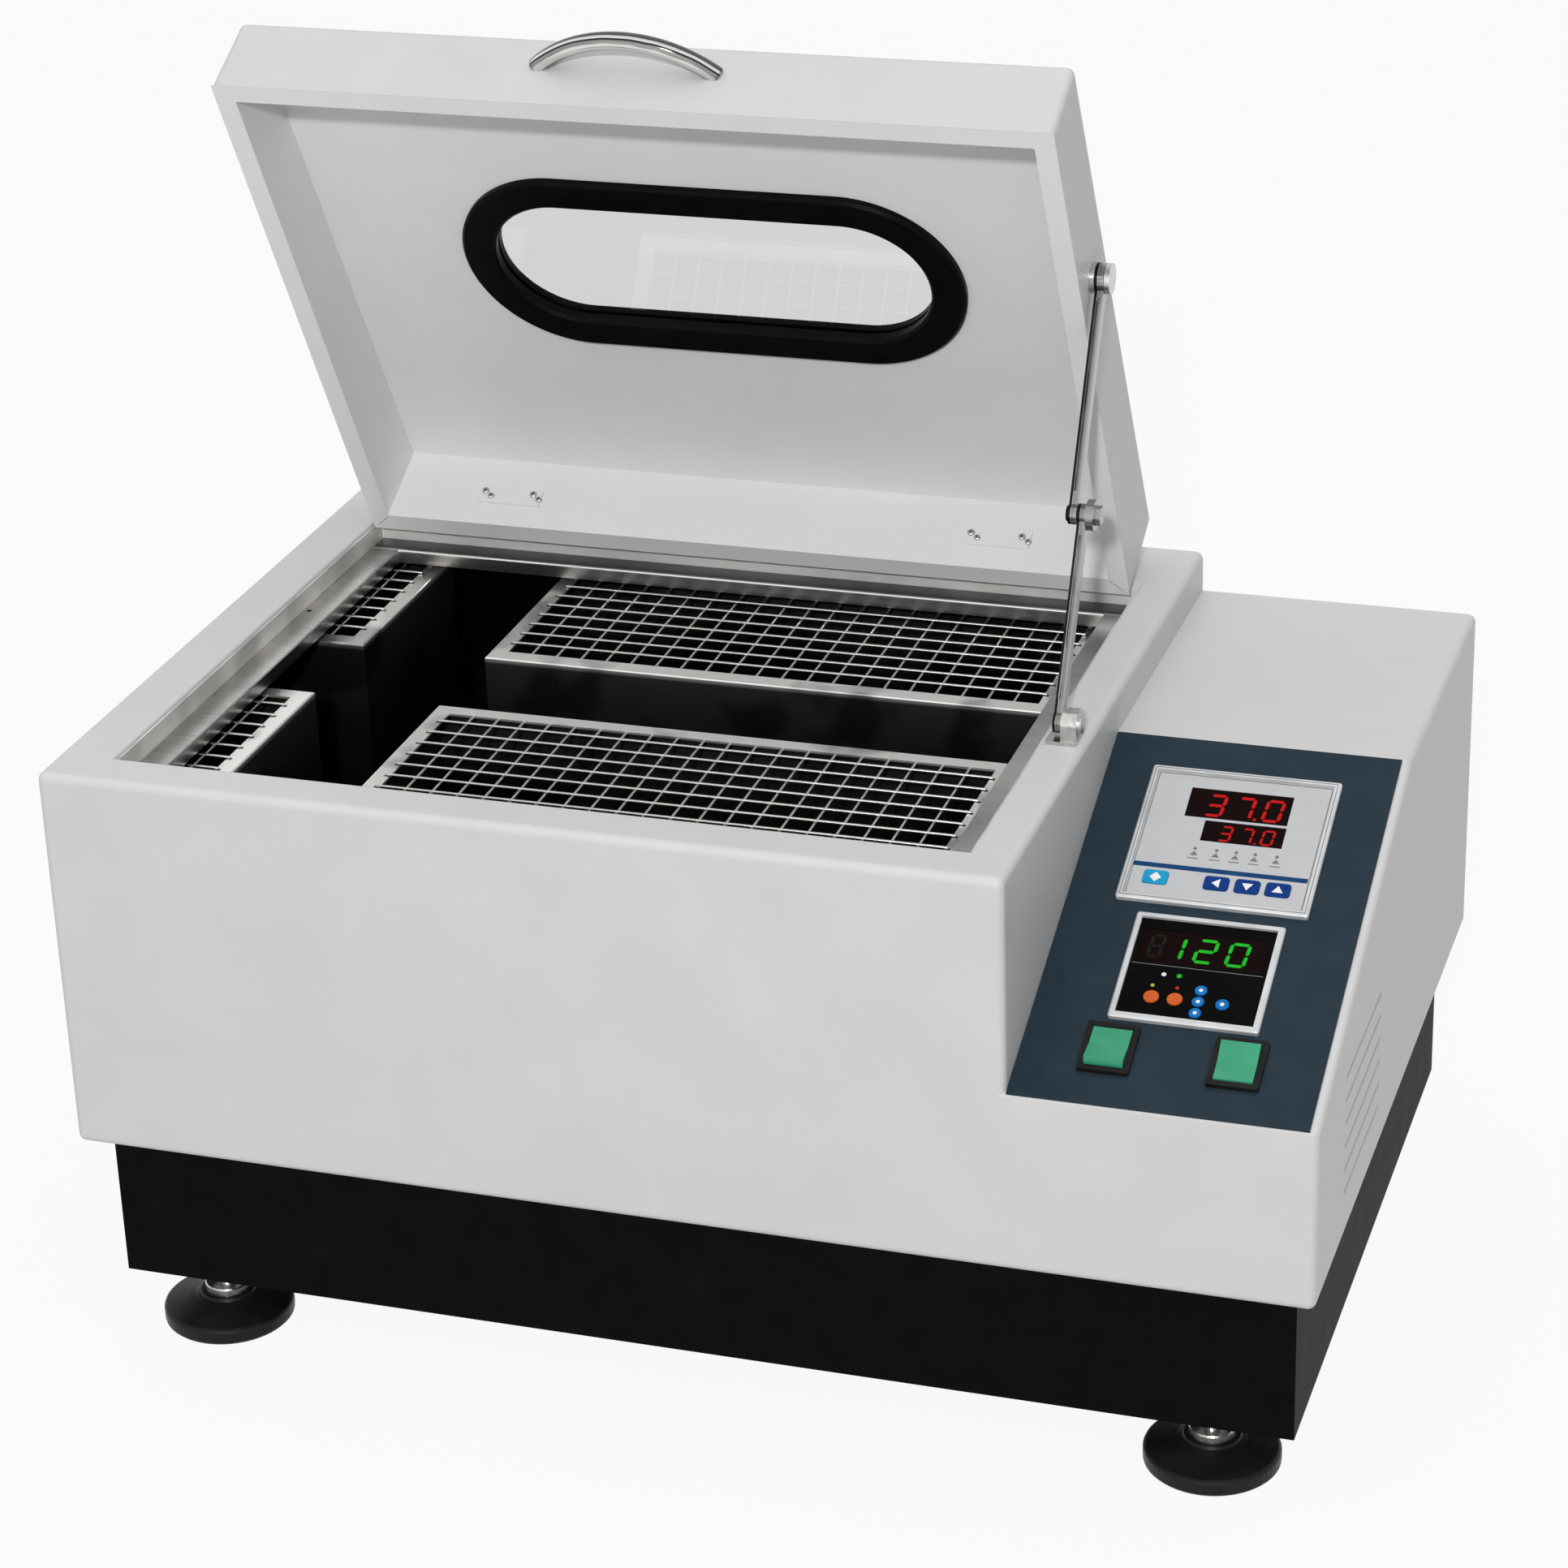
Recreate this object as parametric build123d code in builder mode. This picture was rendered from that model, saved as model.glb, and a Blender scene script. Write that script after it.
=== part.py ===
from build123d import *
import math
import os

os.makedirs("parts", exist_ok=True)

# ---------------------------------------------------------------- sizes, mm
# The frame's origin lies on the floor under the middle of the body.
body_w = 658.0          # left to right
body_d = 430.0          # front to back
console_w = 153.0       # the low part; the chamber takes the rest
foot_h = 34.0           # floor to the plinth's underside
plinth_h = 86.0
body_h = 213.0
console_h = 190.0       # the console's flat top, above the body's underside
slope_low_h = 98.0      # the slope's lower fold
slope_back = 230.0      # the slope's upper fold, behind the front face
sheet = 2.0             # casing sheet
bend_r = 4.5            # outer radius of the casing's bends
fold_r = 1.0            # the tight fold at the slope's foot

left = -body_w / 2
right = body_w / 2
front = -body_d / 2
back = body_d / 2
body_z = foot_h + plinth_h
top_z = body_z + body_h
console_z = body_z + console_h
wall_x = right - console_w      # outer face of the chamber's right wall
join_x = wall_x - 55.0          # inside the chamber, where the console's forms start

# Opening in the chamber's top
flange_l = 31.0
flange_r = 23.0
flange_f = 27.0
flange_b = 53.0
recess = 13.0           # flange down to the ledge
ledge_w = 17.0
hem_h = 8.0
hem_t = 2.0
ledge_back = 2.5        # tank's rim behind the ledge's inner edge
open_x = (left + flange_l, wall_x - flange_r)
open_y = (front + flange_f, back - flange_b)
ledge_z = top_z - recess
ledge_t = 4.0
rest_z = ledge_z - ledge_t      # the ledge lies on the tank's rim here

# Tank
tank_t = 1.5
tank_x = (left + 20.0, wall_x - 18.0)
tank_y = (front + 39.0, back - 32.0)
tank_floor = body_z + 50.0
lining_t = 1.0          # the tank's edge, turned up inside the opening
lining_drop = 2.0       # its top below the casing's

# Clearances
run_fit = 0.05          # shaft in its bore, on the radius
slip = 0.3              # between pieces that move past each other
lid_gap = 2.5           # lid to the opening's wall
ledge_gap = 0.5         # closed lid above the ledge
seam = 0.5              # ledge to the lining

# Lid
lid_open = 62.0         # degrees, the rest pose and the upper stop
hinge_y = open_y[1] + 0.6
hinge_z = top_z + 3.0
lid_x = (open_x[0] + lid_gap, open_x[1] - lid_gap)
lid_y = (open_y[0] + lid_gap - hinge_y, open_y[1] - lid_gap - hinge_y)
rim_z = ledge_z + ledge_gap - hinge_z
lid_h_front = 48.0
lid_h_back = 56.0
lid_t = 1.5
liner_t = 1.2
lid_core = 7.0          # shell's outside to the liner's underside
rim_band = 11.0

# Window in the lid
window_l = 281.0
window_w = 125.0
window_band = 19.0      # width of the gasket all round
window_y = lid_y[0] + 158.5
window_x = (lid_x[0] + lid_x[1]) / 2 + 6.0
gasket_in = 4.5         # how far the gasket stands out under the lid
gasket_out = 2.5
glass_t = 4.0
glass_lap = 6.0         # glass held in the gasket

# Shaking drive
orbit_r = 10.0
shaft_r = 8.0
pin_r = 6.0
crank_z = body_z + 56.0
crank_t = 10.0
crank_r = 24.0
boss_r = 13.0
deck_t = 4.0
plate_t = 3.0
plate_z = body_z + 79.0
drive_at = ((tank_x[0] + tank_x[1]) / 2, tank_y[1] - 98.0)
idler_l_at = (tank_x[0] + 100.0, tank_y[0] + 81.0)
idler_r_at = (tank_x[1] - 99.0, tank_y[0] + 81.0)
motor_at = ((wall_x + right) / 2, back - 100.0)
pulley_z = body_z - 28.0
pulley_h = 14.0
driven_r = 60.0
motor_pulley_r = 15.0

# Racks on the platform
rack_h = 105.0
rack_t = 1.2
rack_rim = 10.0
rack_z = plate_z + plate_t
rack_top = rack_z + rack_h
rack_margin = 13.0      # tank wall to a rack, front and back
cross_gap = 67.0        # between the front and the back racks
narrow_x = (tank_x[0] + 4.0, tank_x[0] + 51.0)
wide_x = (tank_x[0] + 123.0, tank_x[1] - 23.0)
rack_l = (tank_y[1] - tank_y[0] - 2 * rack_margin - cross_gap) / 2
front_y = (tank_y[0] + rack_margin, tank_y[0] + rack_margin + rack_l)
back_y = (tank_y[1] - rack_margin - rack_l, tank_y[1] - rack_margin)
spring_r = 1.0
spring_gap = 0.05       # between crossing springs
across_pitch = 14.1     # springs that run left to right
along_pitch = 14.4      # springs that run front to back
across_first = 11.3     # first spring from the rim beside the cross gap
spring_hook = 2.4       # how far a spring's end reaches over the rim

# Instruments on the slope; s is the distance down from the upper fold
panel_t = 1.5
panel_side = 4.5        # bare casing to the right of the panel
bezel_h = 3.0
temp_at = (wall_x + 73.6, 70.1)
temp_size = (97.6, 92.4)
temp_body = (91.0, 87.0)
speed_at = (wall_x + 75.8, 159.0)
speed_size = (74.8, 69.2)
speed_body = (68.0, 63.0)
instrument_depth = 70.0
bezel_rim = 3.2
face_drop = 1.4         # face below the bezel's edge
face_t = 1.2
key_travel = 0.6
key_gap = 0.2
key_proud = 0.5
flange_out = 0.5        # the hidden collar that keeps a key in
collar_t = 0.8
switch_w = 26.0
switch_l = 30.5
switch_s = 213.0
switch_left = wall_x + 43.5
switch_right = wall_x + 107.0
switch_h = 2.5
rocker_w = 19.4
rocker_r = 12.0
rocker_tilt = 9.0

# Feet
pad_r = 35.0
pad_h = 9.0
stud_r = 5.0
foot_dx = 58.0
foot_dy = 41.5


def block(x, y, z, mode=Mode.ADD):
    """A box between two corners; x, y and z are (low, high)."""
    with Locations(((x[0] + x[1]) / 2, (y[0] + y[1]) / 2, (z[0] + z[1]) / 2)):
        Box(x[1] - x[0], y[1] - y[0], z[1] - z[0], mode=mode)


def disc(at, r, z, mode=Mode.ADD):
    """An upright cylinder centred at x, y, between two heights."""
    with Locations((at[0], at[1], (z[0] + z[1]) / 2)):
        Cylinder(r, z[1] - z[0], mode=mode)


def shrink(span, by):
    return (span[0] + by, span[1] - by)


def yz_prism(points, x, mode=Mode.ADD):
    """A profile in the Y-Z plane, carried from x[0] to x[1]."""
    with BuildSketch(Plane.YZ.offset(x[0])) as profile:
        Polygon(*points, align=None)
    extrude(profile.sketch, amount=x[1] - x[0], mode=mode)


def save(builder, name, out_dir="parts"):
    builder.part.label = name
    export_step(builder.part, out_dir + "/" + name + ".step")


# ---------------------------------------------------------------- casing
def console_profile(inset):
    """Console seen from the side, drawn in by the sheet's thickness."""
    run = slope_back
    rise = console_h - slope_low_h
    length = math.hypot(run, rise)
    drop = inset * length / run             # vertical shift of the slope
    foot = slope_low_h + rise / run * inset - drop
    fold = slope_back + (drop - inset) * run / rise
    return [
        (front + inset, body_z + inset),
        (front + inset, body_z + foot),
        (front + fold, console_z - inset),
        (back - inset, console_z - inset),
        (back - inset, body_z + inset),
    ]


with BuildPart() as chamber_form:
    block((left, wall_x), (front, back), (body_z, top_z))
    fillet(
        chamber_form.edges().filter_by(
            lambda e: e.center().Y < back - 1
            and (e.center().Z > body_z + 1 or e.center().X < wall_x - 1)
        ),
        bend_r,
    )

with BuildPart() as console_form:
    yz_prism(console_profile(0), (join_x, right))
    foot_edge = console_form.edges().filter_by(
        lambda e: abs(e.center().Z - body_z - slope_low_h) < 0.01 and e.center().Y < front + 1
    )
    fillet(foot_edge, fold_r)
    fillet(
        console_form.edges().filter_by(
            lambda e: e.center().X > join_x + 1
            and e.center().Y < back - 1
            and abs(e.center().Z - body_z - slope_low_h) > fold_r + 1
        ),
        bend_r,
    )

rear_lip = 8.0          # the rear panel is sunk, so nothing stands out behind
with BuildPart() as cavity_form:
    block((left + sheet, wall_x - sheet), (front + sheet, back - rear_lip),
          (body_z + sheet, top_z - sheet))
    yz_prism(console_profile(sheet), (join_x, right - sheet))
    block((join_x, right), (back - rear_lip, back), (body_z, top_z), mode=Mode.SUBTRACT)

slope_rise = console_h - slope_low_h
slope_len = math.hypot(slope_back, slope_rise)
slope_plane = Plane(
    origin=(0, front + slope_back, console_z),
    x_dir=(1, 0, 0),
    z_dir=(0, -slope_rise / slope_len, slope_back / slope_len),
)

louvre_rows = 6
louvre_z = 25.0
louvre_pitch = 13.0
louvre_h = 3.0
louvre_y = (front + 70, front + 165)
with BuildPart() as casing:
    add(chamber_form.part)
    add(console_form.part)
    add(cavity_form.part, mode=Mode.SUBTRACT)
    # pocket and opening for the rear panel
    block(shrink((left, wall_x), sheet), (back - 6, back + 1), shrink((body_z, top_z), sheet),
          mode=Mode.SUBTRACT)
    block((join_x, right - sheet), (back - 6, back + 1), shrink((body_z, console_z), sheet),
          mode=Mode.SUBTRACT)
    block(shrink((left, wall_x), 20), (back - 9, back), shrink((body_z, top_z), 20),
          mode=Mode.SUBTRACT)
    block((join_x, right - 20), (back - 9, back), shrink((body_z, console_z), 20),
          mode=Mode.SUBTRACT)
    # underside opening over the plinth
    block(shrink((left, right), 24), (front + 30, back - 30), (body_z - 1, body_z + sheet + 1),
          mode=Mode.SUBTRACT)
    # top opening with its turned-down walls
    block((open_x[0] - sheet, open_x[1] + sheet), (open_y[0] - sheet, open_y[1] + sheet),
          (rest_z, top_z - sheet / 2))
    block(open_x, open_y, (rest_z - 1, top_z + 1), mode=Mode.SUBTRACT)
    rim_edges = casing.edges().filter_by(
        lambda e: abs(e.center().Z - top_z) < 0.01
        and open_x[0] - 1 < e.center().X < open_x[1] + 1
        and open_y[0] - 1 < e.center().Y < open_y[1] + 1
    )
    fillet(rim_edges, 1.6)
    # holes behind the instruments and switches
    with BuildSketch(slope_plane.offset(1)):
        with Locations((temp_at[0], -temp_at[1])):
            Rectangle(temp_body[0] + 1, temp_body[1] + 1)
        with Locations((speed_at[0], -speed_at[1])):
            Rectangle(speed_body[0] + 1, speed_body[1] + 1)
        with Locations((switch_left, -switch_s), (switch_right, -switch_s)):
            Rectangle(switch_w - 3, switch_l - 3)
    extrude(amount=-6, mode=Mode.SUBTRACT)
    # louvre slots low on the right side
    for row in range(louvre_rows):
        slot_z = body_z + louvre_z + row * louvre_pitch
        block((right - sheet - 1, right + 1), louvre_y, (slot_z, slot_z + louvre_h),
              mode=Mode.SUBTRACT)
save(casing, "casing")

panel_y = (back - 6, back - 4.5)
inlet_x = wall_x + 95.0
with BuildPart() as rear_panel:
    block(shrink((left, wall_x), 5), panel_y, shrink((body_z, top_z), 5))
    block((join_x, right - 5), panel_y, shrink((body_z, console_z), 5))
    # vents into the console and the hole for the mains inlet
    for row in range(7):
        block((wall_x + 20, right - 30), (back - 8, back),
              (body_z + 95 + row * 11, body_z + 99 + row * 11), mode=Mode.SUBTRACT)
    block((inlet_x - 14, inlet_x + 14), (back - 8, back), (body_z + 30, body_z + 51),
          mode=Mode.SUBTRACT)
save(rear_panel, "rear_panel")

with BuildPart() as mains_inlet:
    block((inlet_x - 24, inlet_x + 24), (back - 4.5, back - 1), (body_z + 26, body_z + 55))
    block((inlet_x - 13.5, inlet_x + 13.5), (back - 36, back - 4.5),
          (body_z + 30.5, body_z + 50.5))
    block((inlet_x - 11.5, inlet_x + 11.5), (back - 20, back), (body_z + 32.5, body_z + 48.5),
          mode=Mode.SUBTRACT)
    for dx in (-7, 0, 7):
        block((inlet_x - 1 + dx, inlet_x + 1 + dx), (back - 21, back - 6),
              (body_z + 38 - abs(dx) / 3, body_z + 43 - abs(dx) / 3))
save(mains_inlet, "mains_inlet")

# ---------------------------------------------------------------- plinth and deck
plinth_x = (left + 12, right - 12)
plinth_y = (front + 18, back - 18)
feet_at = [
    (left + foot_dx, front + foot_dy),
    (right - foot_dx, front + foot_dy),
    (left + foot_dx, back - foot_dy),
    (right - foot_dx, back - foot_dy),
]
bush_h = 10.0
with BuildPart() as plinth:
    block(plinth_x, plinth_y, (foot_h, body_z))
    block(shrink(plinth_x, sheet), shrink(plinth_y, sheet), (foot_h + sheet, body_z - sheet),
          mode=Mode.SUBTRACT)
    block(shrink(plinth_x, 24), shrink(plinth_y, 22), (body_z - 3, body_z + 1),
          mode=Mode.SUBTRACT)
    # threaded bushes for the feet
    for at in feet_at:
        disc(at, 9, (foot_h + sheet / 2, foot_h + sheet + bush_h))
        disc(at, stud_r + run_fit, (foot_h - 1, foot_h + sheet + bush_h + 1), mode=Mode.SUBTRACT)
save(plinth, "plinth")

deck_z = body_z + deck_t
with BuildPart() as deck:
    block(shrink((left, right), 25), (front + 31, back - 31), (body_z, deck_z))
    for at in (drive_at, idler_l_at, idler_r_at, motor_at):
        disc(at, 16, (body_z - 1, deck_z + 1), mode=Mode.SUBTRACT)
save(deck, "deck")

# ---------------------------------------------------------------- tank and ledge
housing_r = 20.0
fan_at = (back - 105.0, console_z - 60.0)       # y and z of the fan's axis
with BuildPart() as tank:
    block(shrink(tank_x, -tank_t), shrink(tank_y, -tank_t), (tank_floor - tank_t, rest_z))
    block(tank_x, tank_y, (tank_floor, rest_z - tank_t), mode=Mode.SUBTRACT)
    block(open_x, open_y, (rest_z - tank_t, top_z - lining_drop))
    block(shrink(open_x, lining_t), shrink(open_y, lining_t), (rest_z, top_z),
          mode=Mode.SUBTRACT)
    block(shrink(open_x, ledge_w - ledge_back), shrink(open_y, ledge_w - ledge_back),
          (rest_z - 3, rest_z + 1), mode=Mode.SUBTRACT)
    for at in (drive_at, idler_l_at, idler_r_at):
        disc(at, housing_r + slip, (tank_floor - 3, tank_floor + 1), mode=Mode.SUBTRACT)
    # air intake before the fan, and the outlet slots beside it
    with BuildSketch(Plane.YZ.offset(tank_x[1] - 1)):
        with Locations(fan_at):
            with PolarLocations(22, 8):
                Rectangle(16, 5)
            Circle(6)
        for row in range(6):
            with Locations((fan_at[0] - 69, fan_at[1] - 30 + row * 12)):
                Rectangle(20, 5)
    extrude(amount=4, mode=Mode.SUBTRACT)
save(tank, "tank")

with BuildPart() as rim_ledge:
    block(shrink(open_x, lining_t + seam), shrink(open_y, lining_t + seam), (rest_z, ledge_z))
    block(shrink(open_x, ledge_w - hem_t), shrink(open_y, ledge_w - hem_t),
          (ledge_z - hem_h, ledge_z))
    block(shrink(open_x, ledge_w), shrink(open_y, ledge_w), (ledge_z - hem_h - 1, ledge_z + 1),
          mode=Mode.SUBTRACT)
    # the hem's bend, which catches the light
    fillet(
        rim_ledge.edges().filter_by(
            lambda e: abs(e.center().Z - ledge_z) < 0.01
            and open_x[0] + ledge_w - 1 < e.center().X < open_x[1] - ledge_w + 1
            and open_y[0] + ledge_w - 1 < e.center().Y < open_y[1] - ledge_w + 1
        ),
        hem_t * 0.6,
    )
    disc((open_x[0] + 4, back - 168), 1.6, (rest_z - 1, ledge_z + 1), mode=Mode.SUBTRACT)
save(rim_ledge, "rim_ledge")

# ---------------------------------------------------------------- heating and air
duct_x = (tank_x[1] + tank_t, tank_x[1] + 41)
duct_y = (fan_at[0] - 83, fan_at[0] + 53)
duct_z = (fan_at[1] - 46, fan_at[1] + 46)
with BuildPart() as air_duct:
    block(duct_x, duct_y, duct_z)
    block((duct_x[0] - 1, duct_x[1] - tank_t), shrink(duct_y, tank_t), shrink(duct_z, tank_t),
          mode=Mode.SUBTRACT)
    with Locations((duct_x[1], fan_at[0], fan_at[1])):
        Cylinder(5, 8, rotation=(0, 90, 0), mode=Mode.SUBTRACT)
save(air_duct, "air_duct")

wool_z = (tank_floor, rest_z - 2)
wool_gap = 2.0          # wool to the tank
wall_gap = sheet + 0.5  # wool to the outside of the casing
with BuildPart() as insulation:
    block((left + wall_gap, tank_x[0] - wool_gap), tank_y, wool_z)
    block(tank_x, (front + wall_gap, tank_y[0] - wool_gap), wool_z)
    block(tank_x, (tank_y[1] + wool_gap, back - rear_lip - 1), wool_z)
    block((tank_x[1] + wool_gap, wall_x - wall_gap), (tank_y[0], duct_y[0] - 6),
          (tank_floor + 50, rest_z - 2))
save(insulation, "insulation")

heater_y = (fan_at[0] - 71, fan_at[0] - 53)
heater_x = tank_x[1] + 20
heater_top = duct_z[1] - 14
heater_r = 3.5
heater_tie_r = 2.5
with BuildPart() as heater:
    for y in heater_y:
        disc((heater_x, y), heater_r, (duct_z[0] + tank_t, heater_top))
    with Locations((heater_x, sum(heater_y) / 2, heater_top - heater_r)):
        Cylinder(heater_tie_r, heater_y[1] - heater_y[0], rotation=(90, 0, 0))
save(heater, "heater")

fan_r = 36.0
wheel_x = (duct_x[0] + 9, duct_x[0] + 25)
with BuildPart() as fan_wheel:
    with BuildSketch(Plane.YZ.offset(wheel_x[1] - 2)):
        with Locations(fan_at):
            Circle(fan_r)
    extrude(amount=2)
    with BuildSketch(Plane.YZ.offset(wheel_x[0])):
        with Locations(fan_at):
            with PolarLocations(fan_r - 7, 10):
                Rectangle(12, 1.6)
            Circle(8)
            Circle(2 + run_fit, mode=Mode.SUBTRACT)
    extrude(amount=wheel_x[1] - wheel_x[0] - 1.5)
    with BuildSketch(Plane.YZ.offset(wheel_x[1] - 3)):
        with Locations(fan_at):
            Circle(2 + run_fit)
    extrude(amount=4, mode=Mode.SUBTRACT)
save(fan_wheel, "fan_wheel")

with BuildPart() as fan_motor:
    with BuildSketch(Plane.YZ.offset(duct_x[1])):
        with Locations(fan_at):
            Circle(24)
    extrude(amount=36)
    with BuildSketch(Plane.YZ.offset(wheel_x[0])):
        with Locations(fan_at):
            Circle(2)
    extrude(amount=duct_x[1] - wheel_x[0])
save(fan_motor, "fan_motor")

# ---------------------------------------------------------------- shaking drive
with BuildPart() as bearing_housings:
    for at in (drive_at, idler_l_at, idler_r_at):
        disc(at, 34, (deck_z, deck_z + 6))
        disc(at, housing_r, (deck_z, crank_z - slip))
        disc(at, shaft_r + run_fit, (deck_z - 1, crank_z + 1), mode=Mode.SUBTRACT)
save(bearing_housings, "bearing_housings")


def crank(name, at, shaft_low):
    """Eccentric crank: shaft, web and pin, with the pin towards the left at rest."""
    with BuildPart() as piece:
        disc(at, shaft_r, (shaft_low, crank_z + 1))
        with BuildSketch(Plane.XY.offset(crank_z)):
            with Locations(at):
                Circle(crank_r)
        extrude(amount=crank_t)
        disc((at[0] - orbit_r, at[1]), pin_r, (crank_z + crank_t - 1, plate_z - slip))
    save(piece, name)


crank("drive_crank", drive_at, pulley_z - 4)
crank("idler_crank_left", idler_l_at, deck_z + 2)
crank("idler_crank_right", idler_r_at, deck_z + 2)

with BuildPart() as driven_pulley:
    disc(drive_at, driven_r, (pulley_z, pulley_z + pulley_h))
    disc(drive_at, driven_r + 2.5, (pulley_z, pulley_z + 1.5))
    disc(drive_at, driven_r + 2.5, (pulley_z + pulley_h - 1.5, pulley_z + pulley_h))
    disc(drive_at, shaft_r + run_fit, (pulley_z - 1, pulley_z + pulley_h + 1), mode=Mode.SUBTRACT)
save(driven_pulley, "driven_pulley")

motor_w = 90.0
motor_h = 76.0
with BuildPart() as motor:
    block((motor_at[0] - motor_w / 2, motor_at[0] + motor_w / 2),
          (motor_at[1] - motor_w / 2, motor_at[1] + motor_w / 2), (deck_z, deck_z + motor_h))
    fillet(motor.edges().filter_by(Axis.Z), 8)
save(motor, "motor")

with BuildPart() as motor_pulley:
    disc(motor_at, 5, (pulley_z, deck_z - slip))
    disc(motor_at, motor_pulley_r, (pulley_z, pulley_z + pulley_h))
    disc(motor_at, motor_pulley_r + 2.5, (pulley_z - 1.5, pulley_z))
    disc(motor_at, motor_pulley_r + 2.5, (pulley_z + pulley_h, pulley_z + pulley_h + 1.5))
save(motor_pulley, "motor_pulley")

belt_t = 2.0
belt_z = (pulley_z + 2, pulley_z + pulley_h - 2)
belt_gap = math.dist(drive_at, motor_at)
belt_plane = Plane(
    origin=(drive_at[0], drive_at[1], belt_z[0]),
    x_dir=(motor_at[0] - drive_at[0], motor_at[1] - drive_at[1], 0),
    z_dir=(0, 0, 1),
)


def belt_outline(grow):
    """Outline of the belt round both pulleys, drawn with the drive at the origin."""
    big = driven_r + grow
    small = motor_pulley_r + grow
    lean = math.acos((big - small) / belt_gap)
    pts = [
        (big * math.cos(lean), big * math.sin(lean)),
        (belt_gap + small * math.cos(lean), small * math.sin(lean)),
        (belt_gap + small * math.cos(lean), -small * math.sin(lean)),
        (big * math.cos(lean), -big * math.sin(lean)),
    ]
    return big, small, pts


with BuildPart() as drive_belt:
    for grow, mode in ((slip + belt_t, Mode.ADD), (slip, Mode.SUBTRACT)):
        big, small, pts = belt_outline(grow)
        with BuildSketch(belt_plane):
            Circle(big)
            with Locations((belt_gap, 0)):
                Circle(small)
            Polygon(*pts, align=None)
        extrude(amount=belt_z[1] - belt_z[0], mode=mode)
save(drive_belt, "drive_belt")

with BuildPart() as platform:
    block((narrow_x[0] + 2, wide_x[1] - 2), (front_y[0] + 2, back_y[1] - 2),
          (plate_z, plate_z + plate_t))
    for at in (drive_at, idler_l_at, idler_r_at):
        pin_at = (at[0] - orbit_r, at[1])
        disc(pin_at, boss_r, (crank_z + crank_t + slip, plate_z + 1))
        disc(pin_at, pin_r + run_fit, (crank_z + crank_t, plate_z), mode=Mode.SUBTRACT)
save(platform, "platform")


def racks(name, x):
    """Front and back rack of one width: open box with a rim turned inwards."""
    with BuildPart() as pair:
        for y in (front_y, back_y):
            block(x, y, (rack_z, rack_top))
            block(shrink(x, rack_t), shrink(y, rack_t), (rack_z + rack_t, rack_top - rack_t),
                  mode=Mode.SUBTRACT)
            block(shrink(x, rack_rim), shrink(y, rack_rim), (rack_top - 2, rack_top + 1),
                  mode=Mode.SUBTRACT)
        bends = pair.edges().filter_by(
            lambda e: abs(e.center().Z - rack_top) < 0.01
            and not (x[0] + 1 < e.center().X < x[1] - 1 and any(
                y[0] + 1 < e.center().Y < y[1] - 1 for y in (front_y, back_y)))
        )
        fillet(bends, rack_t)
    save(pair, name)


racks("racks_narrow", narrow_x)
racks("racks_wide", wide_x)


def spring_centres(x, count):
    """Places of the springs that run front to back, from the rim beside the middle gap."""
    inner = shrink(x, rack_rim)
    if count == 1:
        return [inner[1] - across_pitch]
    margin = (inner[1] - inner[0] - (count - 1) * along_pitch) / 2
    return [inner[0] + margin + i * along_pitch for i in range(count)]


def spring(middle, length, along):
    """A six-sided wire laid flat, centred on its middle point."""
    with BuildSketch(Plane(middle, x_dir=Vector(0, 0, 1).cross(Vector(along)), z_dir=along)) as section:
        RegularPolygon(spring_r, 6, major_radius=False)
    extrude(section.sketch, amount=length / 2, both=True)


across_count = int((rack_l - 2 * rack_rim - across_first - 1.5) / across_pitch) + 1
along_count = int((wide_x[1] - wide_x[0] - 2 * rack_rim - 20) / along_pitch) + 1
with BuildPart() as spring_nets:
    for y in (front_y, back_y):
        inner_y = shrink(y, rack_rim + 0.1)
        if y is front_y:
            starts = [inner_y[1] - across_first - i * across_pitch for i in range(across_count)]
        else:
            starts = [inner_y[0] + across_first + i * across_pitch for i in range(across_count)]
        for x, count in ((narrow_x, 1), (wide_x, along_count)):
            over_rim = shrink(x, rack_rim - spring_hook)
            for at_y in starts:
                spring(((x[0] + x[1]) / 2, at_y, rack_top + spring_r), over_rim[1] - over_rim[0], (1, 0, 0))
            for at_x in spring_centres(x, count):
                spring((at_x, (y[0] + y[1]) / 2, rack_top - spring_r - spring_gap),
                       inner_y[1] - inner_y[0], (0, 1, 0))
save(spring_nets, "spring_nets")

# ---------------------------------------------------------------- lid
# Lid pieces are drawn closed, from the hinge axis, on a plane tipped open.
turn = math.radians(lid_open)
lid_plane = Plane(
    origin=(0, hinge_y, hinge_z),
    x_dir=(1, 0, 0),
    z_dir=(0, math.sin(turn), math.cos(turn)),
)
lid_slope = math.atan2(lid_h_back - lid_h_front, lid_y[1] - lid_y[0])


def lid_top(y, depth=0.0):
    """Height of the lid's top over the hinge axis at y, less a depth."""
    return rim_z + lid_h_front + math.tan(lid_slope) * (y - lid_y[0]) - depth


def lid_prism(x, y, low, depth, mode=Mode.ADD):
    """Box whose top follows the lid's slope."""
    points = [(y[0], low), (y[1], low), (y[1], lid_top(y[1], depth)), (y[0], lid_top(y[0], depth))]
    with BuildSketch(Plane.YZ.offset(x[0])) as profile:
        Polygon(*points, align=None)
    extrude(profile.sketch, amount=x[1] - x[0], mode=mode)


top_local = Plane(
    origin=(window_x, window_y, lid_top(window_y)),
    x_dir=(1, 0, 0),
    z_dir=(0, -math.sin(lid_slope), math.cos(lid_slope)),
)


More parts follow.
